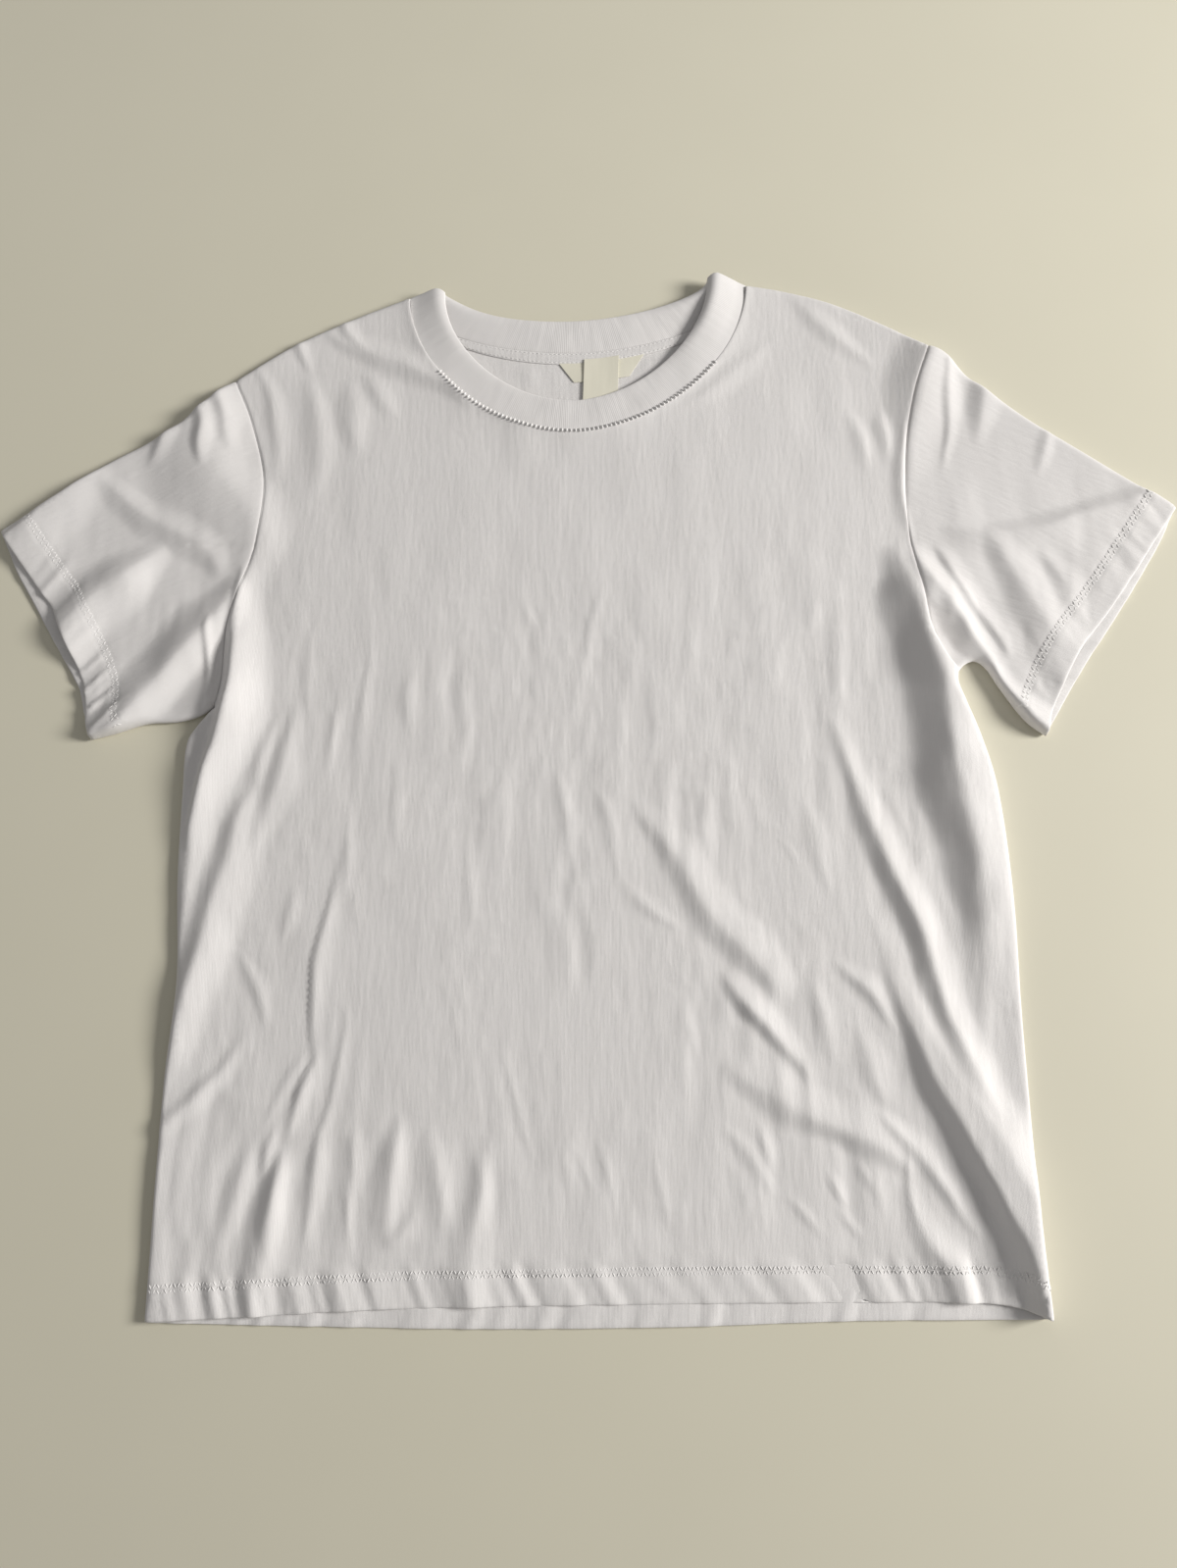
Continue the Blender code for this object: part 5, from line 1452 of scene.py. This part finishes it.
def stitch_run():
    """Geometry nodes that lay stitches along a line whose points carry the cloth's normal, up."""
    tree = bpy.data.node_groups.new("stitch run", "GeometryNodeTree")
    face = tree.interface
    face.new_socket("Line", in_out="INPUT", socket_type="NodeSocketGeometry")
    sizes = {
        "Pitch": 0.0024, "Length": 0.0019, "Thickness": 0.0005, "Tilt": 0.0, "Swing": 0.0,
        "Unevenness": 0.1,
    }
    for name, value in sizes.items():
        made = face.new_socket(name, in_out="INPUT", socket_type="NodeSocketFloat")
        made.default_value = value
    face.new_socket("Thread", in_out="INPUT", socket_type="NodeSocketMaterial")
    face.new_socket("Stitches", in_out="OUTPUT", socket_type="NodeSocketGeometry")
    wire = Wires(tree)
    given = wire.node("NodeGroupInput").outputs

    def out(kind, inputs=None, output=0, **settings):
        return wire.node(kind, inputs, **settings).outputs[output]

    curve = out("GeometryNodeMeshToCurve", {0: given["Line"]})
    even = out(
        "GeometryNodeResampleCurve", {"Curve": curve, "Length": given["Pitch"]}, mode="LENGTH"
    )
    stitch = out("GeometryNodeMeshUVSphere", {"Segments": 6, "Rings": 4, "Radius": 0.5})

    up = out(
        "GeometryNodeInputNamedAttribute", {"Name": "up"}, "Attribute", data_type="FLOAT_VECTOR"
    )
    stand = out("FunctionNodeAlignRotationToVector", {"Vector": up}, axis="Z")
    run = out("FunctionNodeAlignRotationToVector", {
        "Rotation": stand, "Vector": out("GeometryNodeInputTangent"),
    }, axis="X", pivot_axis="Z")
    odd = wire.math("MODULO", out("GeometryNodeInputIndex"), 2.0)
    side = wire.math("SUBTRACT", wire.math("MULTIPLY", odd, 2.0), 1.0)
    angle = wire.math("ADD", given["Tilt"], wire.math("MULTIPLY", side, given["Swing"]))
    turn = out("FunctionNodeAxisAngleToRotation", {"Axis": (0, 0, 1), "Angle": angle})
    turned = out(
        "FunctionNodeRotateRotation", {"Rotation": run, "Rotate By": turn}, rotation_space="LOCAL"
    )

    uneven = out("FunctionNodeRandomValue", {2: -1.0, 3: 1.0, "Seed": 7}, 1, data_type="FLOAT")
    factor = wire.math("ADD", 1.0, wire.math("MULTIPLY", uneven, given["Unevenness"]))
    length, thickness = wire.math("MULTIPLY", given["Length"], factor), given["Thickness"]
    size = out("ShaderNodeCombineXYZ", {0: length, 1: thickness, 2: thickness})
    sewn = out("GeometryNodeInstanceOnPoints", {
        "Points": even, "Instance": stitch, "Rotation": turned, "Scale": size,
    })
    real = out("GeometryNodeRealizeInstances", {0: sewn})
    smooth = out("GeometryNodeSetShadeSmooth", {0: real})
    cotton = out("GeometryNodeSetMaterial", {"Geometry": smooth, "Material": given["Thread"]})
    wire.node("NodeGroupOutput", {0: cotton})
    return tree


def beside(line, distance):
    """A line beside another, on its left hand."""
    way = np.gradient(line, axis=0)
    normal = np.column_stack([-way[:, 1], way[:, 0]])
    return line + distance * normal / np.linalg.norm(normal, axis=1)[:, None]


def on_cloth(plan, height, lift):
    """Points and normals on a face of cloth, given as a function of plan points."""
    z = height(plan)
    slope_x = (height(plan + [SLOPE_STEP, 0]) - z) / SLOPE_STEP
    slope_y = (height(plan + [0, SLOPE_STEP]) - z) / SLOPE_STEP
    up = np.column_stack([-slope_x, -slope_y, np.ones(len(plan))])
    up /= np.linalg.norm(up, axis=1)[:, None]
    return np.column_stack([plan, z]) + up * lift, up


def sewn(name, tree, runs, material, **sizes):
    """Stitches along runs of (points, normals), as one plain mesh."""
    points = np.vstack([p for p, _ in runs])
    edges, first = [], 0
    for p, _ in runs:
        edges += [(first + i, first + i + 1) for i in range(len(p) - 1)]
        first += len(p)
    mesh = bpy.data.meshes.new(name + " run")
    mesh.from_pydata(points.tolist(), edges, [])
    up = mesh.attributes.new("up", "FLOAT_VECTOR", "POINT")
    up.data.foreach_set("vector", np.vstack([u for _, u in runs]).ravel())
    guide = placed(name + " run", mesh)
    modifier = guide.modifiers.new("stitches", "NODES")
    modifier.node_group = tree
    face = tree.interface.items_tree
    sockets = {item.name: item.identifier for item in face if item.in_out == "INPUT"}
    modifier[sockets["Thread"]] = material
    for size, value in sizes.items():
        modifier[sockets[size]] = value
    graph = bpy.context.evaluated_depsgraph_get()
    made = bpy.data.meshes.new_from_object(guide.evaluated_get(graph))
    bpy.data.objects.remove(guide, do_unlink=True)
    made.materials.clear()
    return finished(name, made, material)


def front_face(plan):
    return Front(plan).outer()


def tape_face(plan):
    top = tape_foot(plan[:, 0]) + tape_width(plan[:, 0])
    return tape_level(np.clip((top - plan[:, 1]) / TAPE_WIDTH, 0, 1), TAPE_CLOTH)


def inside_edges(line, loop, margin):
    return line[inside(line, loop) & (to_folded_edge(line)[0] > margin)]


def stitches(material):
    front = panel_outline(hem_front, joined_neck(NECK_DROP_FRONT, 0.0))
    left = sleeve_outline(-1, armhole_left, top_left, foot_left, cuff_left[:, :2])[0]
    right = sleeve_outline(1, armhole_right, top_right, foot_right, cuff_right[:, :2])[0]
    pieces = (  # the outline, the cloth's side of the turned edge, how high the thread lies
        (front, 1, HEM_LIFT), (left, 1, LEFT_CUFF_LIFT), (right, -1, RIGHT_CUFF_LIFT),
    )
    band_runs = []
    for (line, _, rows, _), (loop, hand, lift) in zip(BANDS, pieces):
        for row in rows:
            run = beside(spaced(line, STITCH_GUIDE), hand * row)
            run = inside_edges(run, loop, STITCH_MARGIN)
            band_runs.append(on_cloth(run, front_face, lift))
    angles = np.linspace(math.pi - NECK_TICK_END, NECK_TICK_END, NECK_GUIDE_POINTS)
    seam = neck_seam(angles, NECK_DROP_FRONT, -NECK_TICK_OUT)
    neck_run = [on_cloth(seam, front_face, NECK_LIFT)]
    reach = math.acos(TAPE_END) + TAPE_STITCH_END
    seam = neck_seam(np.linspace(math.pi - reach, reach, TAPE_GUIDE_POINTS), NECK_DROP_BACK)
    tape_runs = []
    for share in TAPE_ROWS:
        down = np.column_stack([np.zeros(len(seam)), share * tape_width(seam[:, 0])])
        tape_runs.append(on_cloth(seam - down, tape_face, TAPE_LIFT))
    tree = stitch_run()
    return [
        sewn("hem_and_cuff_stitches", tree, band_runs, material, Pitch=2.3 * MM, Length=3.3 * MM,
             Thickness=0.65 * MM, Swing=math.radians(60)),
        sewn("neck_stitches", tree, neck_run, material, Pitch=3.0 * MM, Length=3.2 * MM,
             Thickness=1.4 * MM, Tilt=0.5 * math.pi),
        sewn("tape_stitches", tree, tape_runs, material, Pitch=3.0 * MM, Length=2.5 * MM,
             Thickness=0.45 * MM),
    ]


# --- stage ----------------------------------------------------------------------------------------

CAMERA_PLACE = (0.0, -0.2012, 0.720)
CAMERA_TILT = math.radians(14)
CAMERA_LENS = 27.04
LIGHT_TURN = math.radians(4)  # from +X towards +Y
LIGHT_HEIGHT = math.radians(27)
LIGHT_DISTANCE = 3.5
LIGHT_SIZE = 1.15
LIGHT_POWER = 145
LIGHT_COLOUR = (1.0, 0.975, 0.94)
ROOM_COLOUR = (1.0, 0.985, 0.97, 1)
ROOM_STRENGTH = 0.25
# Table colour near the camera and far from it: the darker near end is painted shade, a light
# falloff across the table.
TABLE_NEAR_SHADED = (0.69, 0.66, 0.535, 1)
TABLE_FAR_LIT = (0.775, 0.745, 0.61, 1)
TABLE_GRAIN = (0.96, 0.96, 0.955, 1)
TABLE_REACH = 4.0
TABLE_LEVEL = -0.4 * MM


def table_top():
    """A pale top, darker towards its near side by painted shade, with a faint grain."""
    material = bpy.data.materials.new("pale table top")
    material.use_nodes = True
    wire = Wires(material.node_tree)
    place = wire.node("ShaderNodeTexCoord").outputs["Object"]
    away = wire.axes(place)[1]
    beyond = wire.math("ADD", wire.math("MULTIPLY", away, 1.1), 0.55)
    # painted shade: the top's colour darkens from its far side to its near side
    top = wire.mix(wire.node("ShaderNodeClamp", {0: beyond}).outputs[0], TABLE_NEAR_SHADED, TABLE_FAR_LIT)
    grain = wire.mix(wire.noise(place, 9.0, 3.0), (1, 1, 1, 1), TABLE_GRAIN)
    shader = material.node_tree.nodes["Principled BSDF"].inputs
    wire.feed(shader["Base Color"], wire.mix(1.0, top, grain, "MULTIPLY"))
    shader["Roughness"].default_value = 0.55
    return material


def stage():
    mesh = bpy.data.meshes.new("table")
    corners = ((-1, -1), (1, -1), (1, 1), (-1, 1))
    mesh.from_pydata(
        [(x * TABLE_REACH, y * TABLE_REACH, TABLE_LEVEL) for x, y in corners], [], [(0, 1, 2, 3)]
    )
    mesh.materials.append(table_top())
    placed("table", mesh)

    lamp = bpy.data.lights.new("window", "AREA")
    lamp.shape = "DISK"
    lamp.size = LIGHT_SIZE
    lamp.energy = LIGHT_POWER
    lamp.color = LIGHT_COLOUR
    light = placed("window", lamp)
    flat, up = LIGHT_DISTANCE * math.cos(LIGHT_HEIGHT), LIGHT_DISTANCE * math.sin(LIGHT_HEIGHT)
    light.location = (flat * math.cos(LIGHT_TURN), flat * math.sin(LIGHT_TURN), up)
    light.rotation_euler = (0, 0.5 * math.pi - LIGHT_HEIGHT, LIGHT_TURN)

    world = bpy.data.worlds.new("room")
    world.use_nodes = True
    background = world.node_tree.nodes["Background"]
    background.inputs["Color"].default_value = ROOM_COLOUR
    background.inputs["Strength"].default_value = ROOM_STRENGTH
    bpy.context.scene.world = world

    camera = bpy.data.cameras.new("camera")
    camera.lens = CAMERA_LENS
    camera.sensor_width = 36
    camera.clip_start = 0.01
    eye = placed("camera", camera)
    eye.location = CAMERA_PLACE
    eye.rotation_euler = (CAMERA_TILT, 0, 0)
    bpy.context.scene.camera = eye
    bpy.context.scene.view_settings.view_transform = "Standard"


# --- shirt ----------------------------------------------------------------------------------------


def main():
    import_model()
    cloth = cloth_materials()
    jersey = cloth["jersey"]
    front, back = front_panel(jersey), back_panel(jersey)
    left = sleeve(
        "left_sleeve", -1, armhole_left, top_left, foot_left, cuff_left, LEFT_SLEEVE_EDGES, jersey
    )
    right = sleeve(
        "right_sleeve", 1, armhole_right, top_right, foot_right, cuff_right, RIGHT_SLEEVE_EDGES,
        jersey,
    )
    rib, tape = neck_rib(cloth["rib"]), neck_tape(cloth["tape"])
    loop, tab = loop_label(cloth["label"]), size_label(cloth["label"])
    hem_thread, neck_thread, tape_thread = stitches(cloth["thread"])
    for piece, node, slot in (
        (front, "front_panel", "jersey"), (back, "back_panel", "jersey"),
        (left, "sleeve_left", "jersey"), (right, "sleeve_right", "jersey"),
        (rib, "neck_rib", "rib"), (tape, "neck_tape", "tape"),
        (loop, "loop_label", "label"), (tab, "size_label", "label"),
    ):
        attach(piece, "root")
        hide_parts(node)
    for piece in (hem_thread, neck_thread, tape_thread):
        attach(piece, "root")
    stage()


main()
